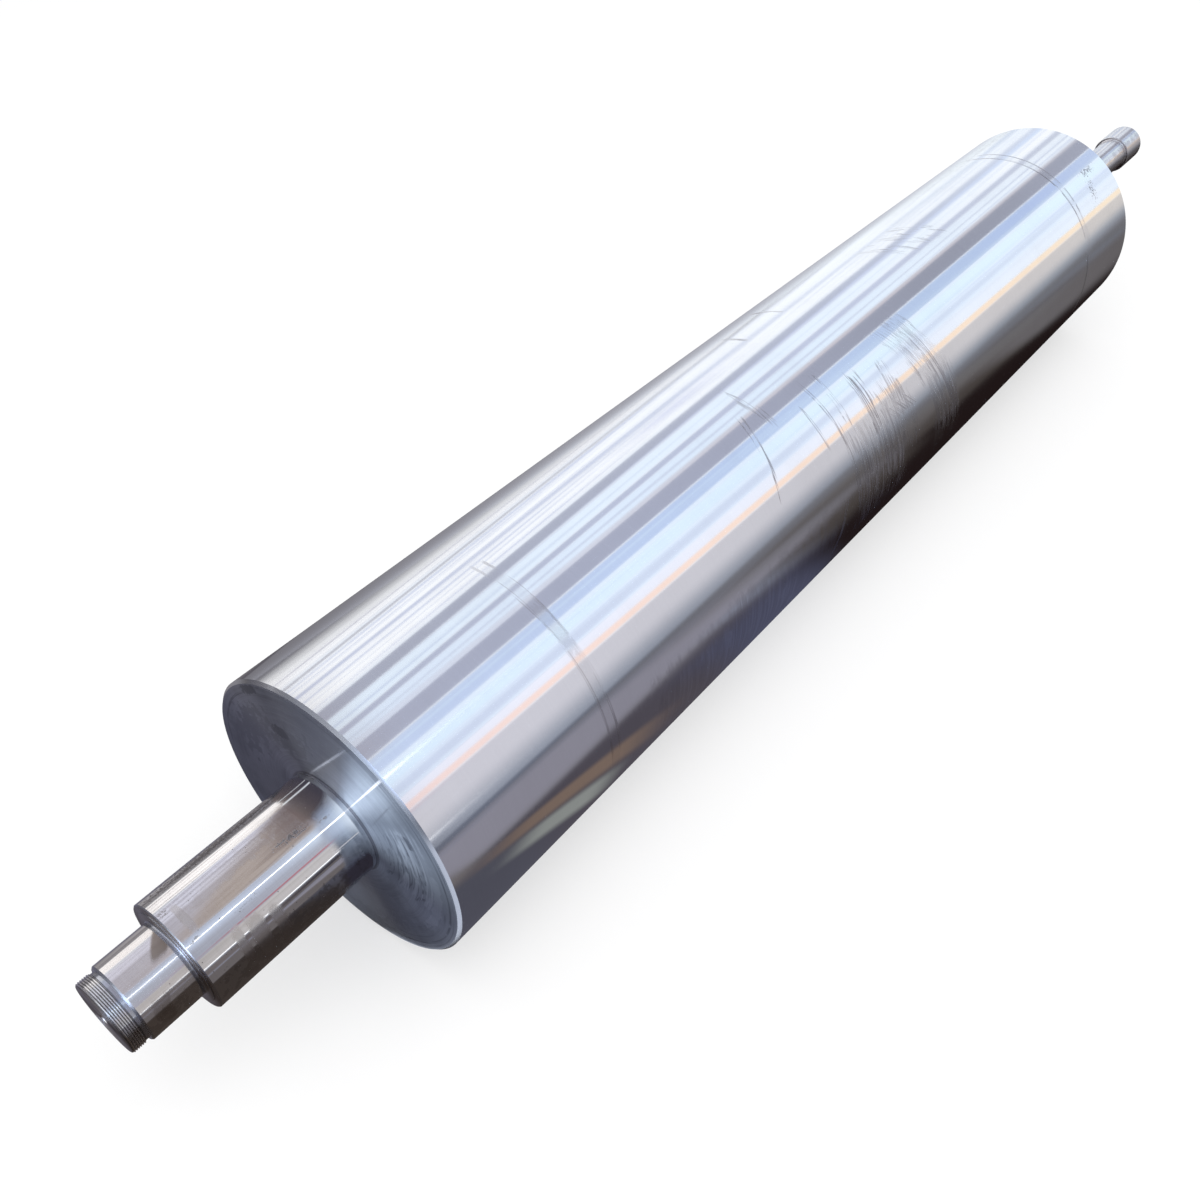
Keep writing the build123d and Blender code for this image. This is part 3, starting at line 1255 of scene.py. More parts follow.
SHARED_ZONES = (
    Zone(FACED_END, -TOUCH, TOUCH, BARREL_RADIUS - BARREL_CHAMFER),
    Zone(GROUND_JOURNAL, JOURNAL_ROOT, JOURNAL_OUT - JOURNAL_CHAMFER, JOURNAL_RADIUS + 10 * TOUCH),
    # The journal's rounded root, darkened as painted shade
    Zone(ROOT_PAINTED_SHADE, TOUCH, JOURNAL_ROOT, JOURNAL_RADIUS + JOURNAL_ROOT),
    Zone(END_FACE, JOURNAL_OUT - TOUCH, LAND_OUT + TOUCH, beyond=LAND_RADIUS + LAND_CHAMFER),
    Zone(END_FACE, JOURNAL_OUT - TOUCH, LAND_OUT + TOUCH, LAND_RADIUS - LAND_CHAMFER),
    Zone(GROUND_SEAT, LAND_OUT + UNDERCUT_WIDTH - SUPPORT, SEAT_OUT - SEAT_CHAMFER),
    Zone(CUT_THREAD, THREAD_START - THREAD_RELIEF - 10 * TOUCH, THREAD_OUT - TOUCH),
)


@dataclass(frozen=True)
class End:
    """One end of the roller, from the barrel's edge outwards.

    Attributes:
        side: The side that it lies on.
        stops: The turning tool's stops, going out and then into the centre hole.
        zones: Its finishes, of which the last that holds a point counts.
    """

    side: Side
    stops: tuple[Stop, ...]
    zones: tuple[Zone, ...]

    def path(self) -> list[tuple[float, float]]:
        """Each stop's place along X and its radius."""
        return [(self.side.value * (HALF_BARREL + stop.out), stop.radius) for stop in self.stops]


NEAR_END = End(
    Side.NEAR, (*shared_stops(), *hole_stops(THREAD_OUT)), (*SHARED_ZONES, *hole_zones(THREAD_OUT)),
)
FAR_END = End(
    Side.FAR,
    (*shared_stops(), *drive_stops(), *hole_stops(COLLAR_OUT)),
    (*SHARED_ZONES, Zone(DRIVE_STEEL, THREAD_OUT - TOUCH, COLLAR_OUT + TOUCH), *hole_zones(COLLAR_OUT)),
)


@dataclass
class Roller:
    """The roller, turned in one piece and threaded at both ends.

    Attributes:
        name: Name of the piece.
        node: The CAD node that it stands for.
        segments: Sides of its rings.
        near: The threaded end.
        far: The drive end.
        body: The finished object.
    """

    name: str = "turned_roller"
    node: str = "roller"
    segments: int = 256
    near: End = NEAR_END
    far: End = FAR_END
    body: bpy.types.Object | None = field(default=None, init=False)

    def build(self) -> None:
        """Turns the body, cuts both threads and smooths the round surfaces."""
        first_tip, *path, last_tip = (*reversed(self.near.path()), *self.far.path())
        lathe = Lathe(self.name, self.segments)
        lathe.start(*path[0])
        for x, radius in path[1:]:
            lathe.turn(x, radius)
        self.body = lathe.finish(last_tip[0], first_tip[0])
        for side in Side:
            ThreadCutter(side).cut(self.body)
        bpy.ops.object.shade_smooth_by_angle(angle=radians(SMOOTH_ANGLE))

    def finish_at(self, x: float, radius: float) -> Steel:
        """The finish at a point of the surface.

        Args:
            x: Its place along X.
            radius: Its distance from the axis.

        Returns:
            The finish of the last zone that holds it.
        """
        out = abs(x) - HALF_BARREL
        if out < -BARREL_CHAMFER:
            return BARREL_CHROME
        if out < 0.0:
            return BRIGHT_EDGE
        end = self.near if x < 0.0 else self.far
        held = [zone.finish for zone in end.zones if zone.holds(out, radius)]
        return held[-1] if held else TURNED_RELIEF

    def dress(self) -> None:
        """Gives each face the finish of its zone."""
        slots: dict[str, int] = {}
        materials = self.body.data.materials
        materials.clear()
        for polygon in self.body.data.polygons:
            finish = self.finish_at(polygon.center.x, self.mean_radius(polygon))
            if finish.name not in slots:
                slots[finish.name] = len(materials)
                materials.append(finish.make())
            polygon.material_index = slots[finish.name]

    def mean_radius(self, polygon: bpy.types.MeshPolygon) -> float:
        """Mean distance of a face's corners from the axis."""
        corners = [self.body.data.vertices[index].co for index in polygon.vertices]
        return sum(Vector((co.y, co.z)).length for co in corners) / len(corners)

    def mount(self) -> None:
        """Lets the piece stand for its CAD node."""
        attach(self.body, "root")
        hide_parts(self.node)


# The screen levels of the cards, screens and cloths were set from median colours measured on the
# photograph's bands, and many were changed after renders
WHITE = (258, 259, 260)
PURE_WHITE = (1.0, 1.0, 1.0)

# Rows and columns of faces in the grids that stand for cards and screens
COLUMNS = 4
CARD_ROWS = 12
SCREEN_ROWS = 24


def linear(levels: Levels) -> Colour:
    """Screen levels as linear light, by the sRGB curve.

    Args:
        levels: Red, green and blue from 0 to 255. A little over 255 glows.

    Returns:
        The colour.
    """
    shares = (level / 255 for level in levels)
    return tuple(v / 12.92 if v <= 0.04045 else ((v + 0.055) / 1.055) ** 2.4 for v in shares)


def hide_from_all_but_metal(thing: bpy.types.Object) -> None:
    """Makes a thing part of the stage and lets only glossy rays see it.

    Args:
        thing: The card, the screen or the cloth.
    """
    for ray in ("camera", "diffuse", "shadow", "transmission", "volume_scatter"):
        setattr(thing, f"visible_{ray}", False)
    thing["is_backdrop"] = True


def hang(
    name: str,
    rows: int,
    place: Callable[[float, float], tuple[float, float, float]],
    dress: Callable[[], bpy.types.Material],
) -> None:
    """Hangs a curled grid that only the metal sees.

    Args:
        name: Its name.
        rows: How many rows of faces it has across.
        place: Gives a point from the shares of the way along and across.
        dress: Makes its material.
    """
    bpy.ops.object.select_all(action="DESELECT")
    bpy.ops.mesh.primitive_grid_add(x_subdivisions=COLUMNS, y_subdivisions=rows, size=2.0)
    thing = bpy.context.object
    thing.name = name
    for vertex in thing.data.vertices:
        vertex.co = place((vertex.co.x + 1) / 2, (vertex.co.y + 1) / 2)
    thing.data.materials.append(dress())
    hide_from_all_but_metal(thing)


def part_way(ends: tuple[float, float], share: float) -> float:
    """The value a share of the way from one end to the other."""
    return ends[0] + share * (ends[1] - ends[0])


# How often a card's streaks change along it, and where their edges lie
STREAK_CHANGES = 3.0
STREAK_EDGE = (0.49, 0.62)


@dataclass(frozen=True)
class Card:
    """A long card of the studio's tent, which shows only in the metal.

    Attributes:
        name: Its name.
        near: The angles round X between which it hangs at near_x, in degrees from +Y.
        far: The same at far_x.
        colours: Screen levels that the metal shows of it, evenly spaced from near_x to far_x.
        span: Where it starts and ends along X.
        near_x: Where the near angles hold.
        far_x: Where the far angles hold.
        radius: Its distance from the roller's axis.
        feather: Share of its width over which each long edge fades.
        end_feather: Share of its length over which each end fades.
        streaks: How strongly fine streaks show along it.
        streak: Their colour.
        streak_width: Their width, in degrees.
        strength: How much brighter than its colour it is.
        one_sided: Whether it shows only from its front.
    """

    name: str
    near: tuple[float, float]
    far: tuple[float, float]
    colours: tuple[Levels, ...]
    span: tuple[float, float] = (-7.0, 12.0)
    near_x: float = 0.25
    far_x: float = 6.75
    radius: float = 3.0
    feather: float = 0.12
    end_feather: float = 0.0
    streaks: float = 0.0
    streak: Levels = WHITE
    streak_width: float = 4.0
    strength: float = 1.0
    one_sided: bool = False

    def build(self) -> None:
        """Hangs the card round the tent's frame."""
        hang(f"card_{self.name}", CARD_ROWS, self.place, self.dress)

    def place(self, along: float, across: float) -> tuple[float, float, float]:
        """A point of the card.

        Args:
            along: Its share of the way along the span.
            across: Its share of the way from the low angle to the high one.

        Returns:
            The point.
        """
        x = part_way(self.span, along)
        drift = (x - self.near_x) / (self.far_x - self.near_x)
        angles = tuple(part_way(ends, drift) for ends in zip(self.near, self.far))
        angle = radians(part_way(angles, across))
        return x, self.radius * cos(angle), self.radius * sin(angle)

    def dress(self) -> bpy.types.Material:
        """The card's glow, faded at its edges.

        Returns:
            The material.
        """
        material = bpy.data.materials.new(f"card_{self.name}")
        bench = Bench.cleared(material)
        uv = bench.add("ShaderNodeTexCoord").outputs["UV"]
        u, v, _ = bench.add("ShaderNodeSeparateXYZ", {0: uv}).outputs
        colours = [linear(levels) for levels in self.colours]
        colour: Feed = colours[0]
        last = len(colours) - 1
        inputs = {"Value": u}
        inputs["From Min"], inputs["From Max"] = (
            (x - self.span[0]) / (self.span[1] - self.span[0]) for x in (self.near_x, self.far_x)
        )
        drift = bench.add("ShaderNodeMapRange", inputs).outputs[0]
        for index, end in enumerate(colours[1:]):
            share = bench.math("MULTIPLY_ADD", drift, float(last), -float(index), clamp=True)
            colour = bench.mix(share, colour, end)
        if self.streaks:
            waves = (self.near[1] - self.near[0]) / self.streak_width
            across = bench.math("MULTIPLY", v, waves)
            place = bench.vector(across, bench.math("MULTIPLY", u, STREAK_CHANGES), self.near[0])
            lines = bench.ease(bench.noise(place, 1.0, detail=4.0, rough=0.75), *STREAK_EDGE)
            lines = bench.math("MULTIPLY", lines, self.streaks)
            colour = bench.mix(lines, colour, linear(self.streak))
        inputs = {"Color": colour, "Strength": GLOW * self.strength}
        glow = bench.add("ShaderNodeEmission", inputs).outputs[0]
        shown: Feed = 1.0
        for share, feather in ((v, self.feather), (u, self.end_feather)):
            if feather:
                inner = bench.math("MINIMUM", share, bench.math("SUBTRACT", 1.0, share))
                shown = bench.math("MULTIPLY", shown, bench.ease(inner, 0.0, feather))
        if self.one_sided:
            back = bench.add("ShaderNodeNewGeometry").outputs["Backfacing"]
            shown = bench.math("MULTIPLY", shown, bench.math("SUBTRACT", 1.0, back))
        clear = bench.add("ShaderNodeBsdfTransparent").outputs[0]
        surface = bench.add("ShaderNodeMixShader", {0: shown, 1: clear, 2: glow}).outputs[0]
        bench.add("ShaderNodeOutputMaterial", {"Surface": surface})
        material.cycles.emission_sampling = "NONE"
        return material


ROOM_CARDS = (
    Card(
        "panel_a", (-2, 27.5), (-62, -31), (WHITE,), radius=3.1, streaks=1.0, streak=(190, 190, 204),
        streak_width=1.7,
    ),
    Card(
        "panel_b", (29, 62), (-32, 27), (WHITE, (250, 257, 262)), radius=3.1, streaks=1.0,
        streak=(198, 206, 230), streak_width=2.2,
    ),
    Card(
        "panel_c", (71, 82), (39, 54), ((234, 246, 258), (236, 248, 260), WHITE), radius=3.1, streaks=0.9,
        streak=(198, 210, 234), streak_width=2.0,
    ),
    Card(
        "panel_d", (85, 97), (61, 84), ((228, 240, 256), (230, 244, 258), (244, 250, 256)), radius=3.1,
        streaks=0.9, streak=(198, 208, 232), streak_width=2.0,
    ),
    Card(
        "panel_e", (108, 147), (99, 162), ((232, 244, 258), (234, 246, 260)), radius=3.1, streaks=0.7,
        streak=(208, 220, 244),
    ),
    *(
        Card(
            f"ray_{index}", near, far, (WHITE,), span, *span, radius=3.05, feather=0.45, end_feather=0.2,
            strength=1.15,
        )
        for index, (near, far, span) in enumerate((
            ((29.0, 33.5), (37.5, 41.0), (0.1, 1.1)),
            ((44.0, 47.5), (57.0, 60.0), (0.35, 1.35)),
            ((27.0, 31.0), (39.5, 43.0), (0.7, 1.85)),
            ((37.0, 41.0), (47.5, 51.5), (1.65, 2.95)),
            ((27.0, 31.5), (35.5, 39.5), (2.5, 3.55)),
            ((25.0, 28.5), (35.0, 38.0), (3.4, 4.4)),
            ((38.0, 41.0), (33.5, 36.5), (3.85, 5.4)),
        ))
    ),
    Card(
        "lilac_patch", (33.0, 44.0), (30.0, 45.0), ((206, 212, 238),), (2.1, 3.5), 2.1, 3.5, radius=3.08,
        feather=0.4, end_feather=0.3,
    ),
    Card("line_a", (26.8, 30.4), (-33, -28), ((192, 193, 202), (186, 188, 196)), feather=0.3),
    Card(
        "line_b", (40.0, 44.5), (0.5, 8.0), ((200, 206, 226), (206, 214, 234), (200, 214, 232)),
        feather=0.35,
    ),
    Card(
        "rib_low", (61.5, 71.5), (25.0, 31.5), ((170, 174, 190), (184, 190, 208), (216, 226, 244)),
        radius=2.95,
    ),
    Card(
        "rib_low_soft", (64.0, 71.5), (27.0, 40.0), ((190, 198, 216), (200, 208, 232), (214, 228, 250)),
        feather=0.3,
    ),
    Card(
        "line_c", (81.2, 85.8), (53.5, 61.5), ((182, 188, 208), (196, 204, 226), (200, 206, 220)),
        radius=2.95, feather=0.15,
    ),
    Card(
        "hair_c", (90.0, 91.2), (69.6, 70.8), ((216, 226, 242), (190, 196, 214)), radius=2.95,
        feather=0.3,
    ),
    Card(
        "rib_high_warm", (92.0, 97.5), (79.0, 88.0), ((222, 230, 246), (202, 196, 202), (190, 190, 200)),
        radius=2.92, feather=0.3,
    ),
    Card(
        "rib_high", (96.2, 108.2), (83.0, 100.4),
        ((173, 178, 198), (168, 172, 191), (146, 149, 163), (168, 172, 188)), radius=2.9, feather=0.05,
    ),
    Card(
        "sky_blue", (108.4, 119.0), (100.4, 116.0),
        ((198, 212, 240), (190, 208, 240), (184, 202, 230), (198, 212, 236)), feather=0.1, streaks=0.4,
        streak=(220, 240, 255),
    ),
    Card(
        "sky_violet", (106.0, 120.0), (100.4, 114.0), ((150, 172, 232),), (5.2, 6.1), radius=2.95,
        feather=0.3, end_feather=0.4,
    ),
    Card(
        "sky_pale", (120.5, 130.5), (116.0, 132.0), ((226, 244, 260), (232, 250, 260)), feather=0.25,
        streaks=0.5, streak=(206, 222, 244), streak_width=2.5,
    ),
    Card("sky_lilac", (130.5, 138.5), (134.0, 142.0), ((210, 220, 241), (220, 232, 249)), feather=0.35),
    Card(
        "sky_low", (138.5, 146.5), (142.0, 161.0), ((244, 244, 256), (238, 248, 258)), feather=0.2,
        streaks=0.4, streak=(222, 232, 248), streak_width=2.0,
    ),
    Card(
        "beam_peach", (143.4, 149.2), (160.0, 169.4), ((254, 226, 220), (256, 230, 207), (255, 238, 212)),
        radius=2.9, feather=0.3,
    ),
    Card(
        "wall_pale", (148.6, 181.0), (167.4, 194.0), ((208, 207, 216), (202, 200, 204), (214, 208, 202)),
        radius=2.95, feather=0.04,
    ),
    Card(
        "wall_grey", (160.0, 200.0), (178.0, 212.0), ((150, 156, 170), (140, 144, 154), (170, 174, 180)),
        radius=2.85, feather=0.5,
    ),
    Card(
        "wall_line", (178.6, 186.0), (194.0, 202.0), ((104, 110, 126), (96, 98, 104), (100, 102, 108)),
        radius=2.8, feather=0.35,
    ),
    Card(
        "back_foot", (-40, 24), (-60, -30), ((106, 104, 109), (164, 168, 180), (206, 213, 222)),
        radius=2.9, feather=0.5,
    ),
    *(
        Card(f"strip_{letter}", near, far, (WHITE,), span, radius=2.93, feather=0.35, end_feather=0.1)
        for letter, near, far, span in (
            ("a", (17.4, 20.2), (100.5, 103.5), (1.7, 2.7)),
            ("b", (15.0, 18.4), (55.0, 58.5), (2.65, 4.1)),
            ("c", (21.0, 24.0), (104.0, 107.0), (0.8, 1.3)),
        )
    ),
)

# Where along X the seat and the journal's root show the cards over the near end
NEAR_TENT_X = (-0.51, 0.13)


def near_card(
    name: str, near: tuple[float, float], far: tuple[float, float], *colours: Levels, **more: object
) -> Card:
    """A card over the near end, where only the journal and the seat show it.

    Args:
        name: Its name.
        near: Its angles where the seat shows it.
        far: Its angles where the journal's root shows it.
        *colours: What the metal shows of it, evenly spaced from the one to the other.
        **more: Any other field of the card.

    Returns:
        The card.
    """
    options = {"span": (-2.2, -0.04), "radius": 2.6, "streak_width": 2.5}
    options["near_x"], options["far_x"] = NEAR_TENT_X
    return Card(name, near, far, colours, **{**options, **more})


NEAR_CARDS = (
    near_card(
        "back_dark", (-40, 9), (-40, 9), (150, 146, 148), (92, 88, 96), streaks=0.6, streak=(84, 82, 86),
    ),
    near_card(
        "cream", (8, 36), (8, 36), (264, 260, 258), streaks=1.0, streak=(150, 144, 146), streak_width=1.2,
        strength=1.12,
    ),
    near_card(
        "lilac", (35, 78), (28, 66), (222, 222, 236), radius=2.55, streaks=0.9, streak=(156, 152, 162),
        streak_width=1.6,
    ),
    near_card(
        "seat_pale", (62, 114), (62, 114), (192, 190, 201), radius=2.52, streaks=0.9,
        streak=(150, 144, 150), streak_width=1.8,
    ),
    near_card(
        "taupe", (86, 113), (-22, 113), (182, 171, 165), radius=2.5, feather=0.03, span=(-0.6, -0.04),
        streaks=0.9, streak=(136, 120, 112), streak_width=1.8,
    ),
    near_card(
        "root_brown", (90, 106), (-22, 100), (126, 110, 108), (104, 92, 94), radius=2.47, feather=0.08,
        span=(-0.27, -0.04), end_feather=0.35, streaks=0.5, streak=(84, 76, 80),
    ),
    near_card(
        "grey", (110, 156), (110, 156), (174, 178, 192), radius=2.55, streaks=0.45,
        streak=(150, 150, 162),
    ),
    near_card(
        "halo", (108, 138), (98, 148), (212, 224, 246), (188, 196, 214), (226, 242, 262), (226, 242, 262),
        radius=2.45, feather=0.5,
    ),
    near_card("tube", (122.7, 124.1), (122.5, 124.3), WHITE, radius=2.4, feather=0.3, strength=3.0),
    near_card(
        "pink_line", (147.0, 151.0), (146.8, 151.0), (172, 128, 136), (190, 112, 124), radius=2.4,
        feather=0.3, span=(-0.6, -0.04), end_feather=0.2,
    ),
    near_card(
        "cream_low", (150.6, 172), (150.6, 172), (192, 188, 188), (206, 204, 206), radius=2.5,
        streaks=0.5, streak=(164, 160, 158),
    ),
    near_card(
        "low_line", (170.4, 172.6), (170.4, 172.6), WHITE, radius=2.4, feather=0.35, strength=1.5,
    ),
    near_card(
        "low_dark", (172.8, 190), (172.8, 190), (112, 106, 108), (54, 50, 58), (48, 46, 54), radius=2.45,
        feather=0.15, streaks=0.6, streak=(130, 124, 122),
    ),
)


def face_glow(name: str, half_angle: float, strength: float, feather: float = 0.5) -> Card:
    """A card ahead of the roller that draws a bright radial line across the turned faces.

    Args:
        name: Its name.
        half_angle: Half the angle that it spans, in degrees.
        strength: How bright it is.
        feather: Share of its width over which each edge fades.

    Returns:
        The card.
    """
    angles = (CAMERA_ANGLE - half_angle, CAMERA_ANGLE + half_angle)
    return Card(
        name, angles, angles, ((208, 226, 255),), (-9.0, -3.0), radius=1.2, feather=feather,
        strength=strength,
    )


FACE_CARDS = (
    face_glow("face_wide", 62.0, 6.0),
    face_glow("face_core", 6.0, 26.0, 0.4),
)


@dataclass(frozen=True)
class Screen:
    """A card close before the barrel's faced end, which shows only to one side.

    It shows to the barrel where its angles grow, and to the journal where they fall.

    Attributes:
        name: Its name.
        angles: The angles round X between which it stands, in degrees from +Y.
        radii: Its inner and outer radius.
        colours: Its colours, evenly spaced going out.
        strength: How much brighter than its colour it is.
        feather: Share of its sweep over which each side fades.
        end_feather: Share of its reach over which its inner and outer edges fade.
        x: Where it stands along X.
        aside: How far it is moved along Y and Z.
    """

    name: str
    angles: tuple[float, float]
    radii: tuple[float, float]
    colours: tuple[Levels, ...]
    strength: float = 1.0
    feather: float = 0.5
    end_feather: float = 0.05
    x: float = -0.803
    aside: tuple[float, float] = (0.0, 0.0)

    def build(self) -> None:
        """Stands the screen up, its front to the barrel."""
        glow = Card(
            self.name, self.angles, self.angles, self.colours, self.radii, *self.radii,
            feather=self.feather, end_feather=self.end_feather, strength=self.strength, one_sided=True,
        )
        hang(f"screen_{self.name}", SCREEN_ROWS, self.place, glow.dress)

    def place(self, outward: float, round_x: float) -> tuple[float, float, float]:
        """A point of the screen.

        Args:
            outward: Its share of the way from the inner radius to the outer one.
            round_x: Its share of the way from the first angle to the second.

        Returns:
            The point.
        """
        radius = part_way(self.radii, outward)
        angle = radians(part_way(self.angles, round_x))
        return self.x, radius * cos(angle) + self.aside[0], radius * sin(angle) + self.aside[1]


SCREENS = (
    Screen(
        "fan_low", (150, 264), (0.052, 0.166),
        ((114, 118, 131), (110, 113, 126), (114, 117, 132), (122, 125, 138)), x=-0.8038,
    ),
    Screen(
        "fan_wide", (98, 197), (0.052, 0.166),
        ((197, 208, 221), (176, 187, 199), (157, 166, 177), (137, 145, 155)), 1.5, x=-0.8034,
    ),
    Screen(
        "fan_core", (104, 143), (0.052, 0.166),
        ((228, 240, 248), (216, 227, 237), (202, 213, 222), (160, 168, 176)), 2.2, x=-0.803,
    ),
    Screen("fan_line", (122.5, 123.9), (0.054, 0.162), (WHITE, WHITE), 3.2, 0.3, x=-0.8026),
    Screen(
        "fan_second_line", (127.7, 129.3), (0.034, 0.158), (WHITE, WHITE, (190, 196, 206)), 1.3, 0.4,
        0.15, -0.8024, (0.0492, 0.0221),
    ),
    Screen(
        "fan_third_line", (119.5, 120.3), (0.04, 0.135), ((200, 208, 220),), 0.8, 0.4, 0.3, -0.8022,
        (-0.0311, -0.0057),
    ),
    Screen("edge", (142, 262), (0.1605, 0.176), ((205, 210, 220),), 1.5, 0.1),
    Screen(
        "root_dark", (101, 6), (0.058, 0.162), ((66, 64, 76), (82, 76, 82), (106, 96, 95)), 1.0, 0.12,
        x=-0.805,
    ),
    Screen(
        "root_glow", (158, 94), (0.058, 0.162),
        ((228, 242, 258), (196, 212, 236), (184, 198, 222), (176, 186, 206)), 1.0, 0.45, x=-0.8054,
    ),
    Screen(
        "root_low_dark", (276, 202), (0.012, 0.136), ((44, 42, 52), (46, 44, 54)), 1.0, 0.3, x=-0.8056,
        aside=(-0.0488, 0.0132),
    ),
    Screen("root_tube", (124.6, 122.2), (0.058, 0.162), (WHITE, WHITE), 2.5, 0.35, x=-0.8058),
    Screen(
        "root_high_line", (32.4, 25.6), (0.019, 0.137), ((214, 220, 228), (226, 230, 234)), 1.0, 0.4,
        x=-0.806, aside=(-0.0034, 0.0464),
    ),
    Screen(
        "root_high_hair", (15.8, 13.2), (0.0165, 0.138), ((216, 220, 226),), 1.0, 0.35, x=-0.8062,
        aside=(0.0044, 0.0495),
    ),
    Screen(
        "root_low_hair", (169.3, 167.1), (0.026, 0.134), ((206, 208, 214),), 1.0, 0.35, x=-0.8064,
        aside=(-0.0215, 0.0269),
    ),
)


@dataclass(frozen=True)
class Cloth:
    """A cloth laid on the floor, which shows only in the metal.

    Attributes:
        name: Its name.
        span_x: Where it starts and ends along X.
        span_y: The same along Y.
        colours: What the metal shows of it, evenly spaced along X.
        lift: How far it lies above the floor.
        feather: Share of its sides over which its edges fade.
        turn: Its turn about Z, in degrees.
    """

    name: str
    span_x: tuple[float, float]
    span_y: tuple[float, float]
    colours: tuple[Levels, ...]
    lift: float = 0.0004
    feather: float = 0.1
    turn: float = 0.0

    def build(self) -> None:
        """Lays the cloth."""
        middle = ((self.span_x[0] + self.span_x[1]) / 2, (self.span_y[0] + self.span_y[1]) / 2)
        bpy.ops.object.select_all(action="DESELECT")
        bpy.ops.mesh.primitive_plane_add(
            size=1.0, location=(*middle, FLOOR_Z + self.lift), rotation=(0.0, 0.0, radians(self.turn))
        )
        cloth = bpy.context.object
        cloth.name = f"cloth_{self.name}"
        cloth.scale = (self.span_x[1] - self.span_x[0], self.span_y[1] - self.span_y[0], 1.0)
        bpy.ops.object.transform_apply(location=True, rotation=True, scale=True)
        glow = Card(
            self.name, (0, 0), (0, 0), self.colours, self.span_x, *self.span_x,
            feather=self.feather, end_feather=self.feather,
        )
        cloth.data.materials.append(glow.dress())
        hide_from_all_but_metal(cloth)


CLOTHS = (
    Cloth("ground", (-12, 14), (-12, 10), ((118, 116, 122),), 0.0004, 0.0),
    Cloth(
        "back", (-0.6, 4.6), (0.25, 12),
        (
            (112, 110, 115), (150, 150, 158), (178, 180, 189), (203, 207, 216), (220, 226, 234),
            (232, 240, 246), (241, 250, 254), (245, 253, 255),
        ),
        0.0006, 0.02,
    ),
    Cloth(
        "front", (-1.0, 6.2), (-14, -0.9),
        (
            (130, 130, 142), (131, 131, 144), (108, 108, 115), (112, 112, 117), (140, 146, 156),
            (152, 158, 167), (162, 166, 173), (176, 181, 189), (186, 189, 192),
        ),
        0.0005, 0.02,
    ),
    Cloth("slate", (-2.4, 0.32), (-1.7, -0.4), ((137, 135, 146),), 0.0007, 0.13),
    Cloth(
        "mid", (0.22, 2.3), (-1.25, -0.3),
        (
            (100, 97, 101), (88, 84, 83), (100, 96, 96), (105, 103, 104), (104, 102, 105),
            (110, 112, 120), (106, 106, 110), (106, 106, 110), (106, 106, 110),
        ),
        0.0006, 0.2,
    ),
    Cloth("mid_line", (1.01, 1.47), (-0.64, -0.56), ((84, 82, 87),), 0.0009, 0.4, 56.0),
    Cloth("slate_low", (-2.4, 0.16), (-0.5, 0.2), ((76, 72, 80),), 0.001, 0.12),
    Cloth("lilac_glow", (-0.17, 0.17), (-0.56, -0.33), ((120, 124, 139),), 0.0011, 0.4),
    Cloth("lilac_low", (-0.34, 0.14), (-0.44, 0.2), ((76, 78, 98),), 0.0012, 0.25),
    Cloth("brown_mid", (-0.06, 0.9), (-0.56, 0.2), ((70, 64, 61),), 0.0014, 0.18),
    Cloth(
        "grey_far", (0.62, 2.3), (-0.48, 0.2), ((103, 100, 102), (96, 92, 93), (94, 90, 90)), 0.0015,
        0.12,
    ),
    Cloth("black_mid", (-0.12, 0.74), (-0.36, 0.3), ((30, 22, 22),), 0.0017, 0.18),
    Cloth("black_slope", (0.2, 1.24), (-0.3, 0.36), ((30, 22, 22),), 0.002, 0.14, 17.0),
    Cloth("black_far", (0.6, 2.3), (-0.27, 0.3), ((44, 38, 38),), 0.0016, 0.25),
    Cloth("near_slate", (-1.4, -0.54), (-0.52, 0.2), ((76, 76, 86),), 0.0018, 0.15),
    Cloth("pale_board", (-0.69, -0.45), (-0.28, -0.18), ((134, 137, 134),), 0.0023, 0.35, 44.0),
    Cloth("tan_board", (-0.72, -0.32), (-0.37, -0.245), ((118, 101, 91),), 0.0022, 0.35, 42.0),
    Cloth("journal_grey", (-1.2, -0.6), (-1.6, -0.38), ((106, 101, 102),), 0.0019, 0.09),
    Cloth(
        "journal_brown", (-1.4, -0.76), (-0.48, 0.14), ((72, 63, 57), (68, 60, 55), (52, 47, 47)), 0.0024,
        0.08,
    ),
    Cloth(
        "journal_back", (-1.2, -0.54), (0.26, 2.4),
        ((110, 106, 106), (126, 122, 122), (168, 165, 168), (128, 124, 128), (66, 64, 72)), 0.0025, 0.06,
    ),
    Cloth("face_violet", (-1.3, -0.76), (0.02, 0.46), ((114, 112, 124),), 0.0026, 0.15),
)


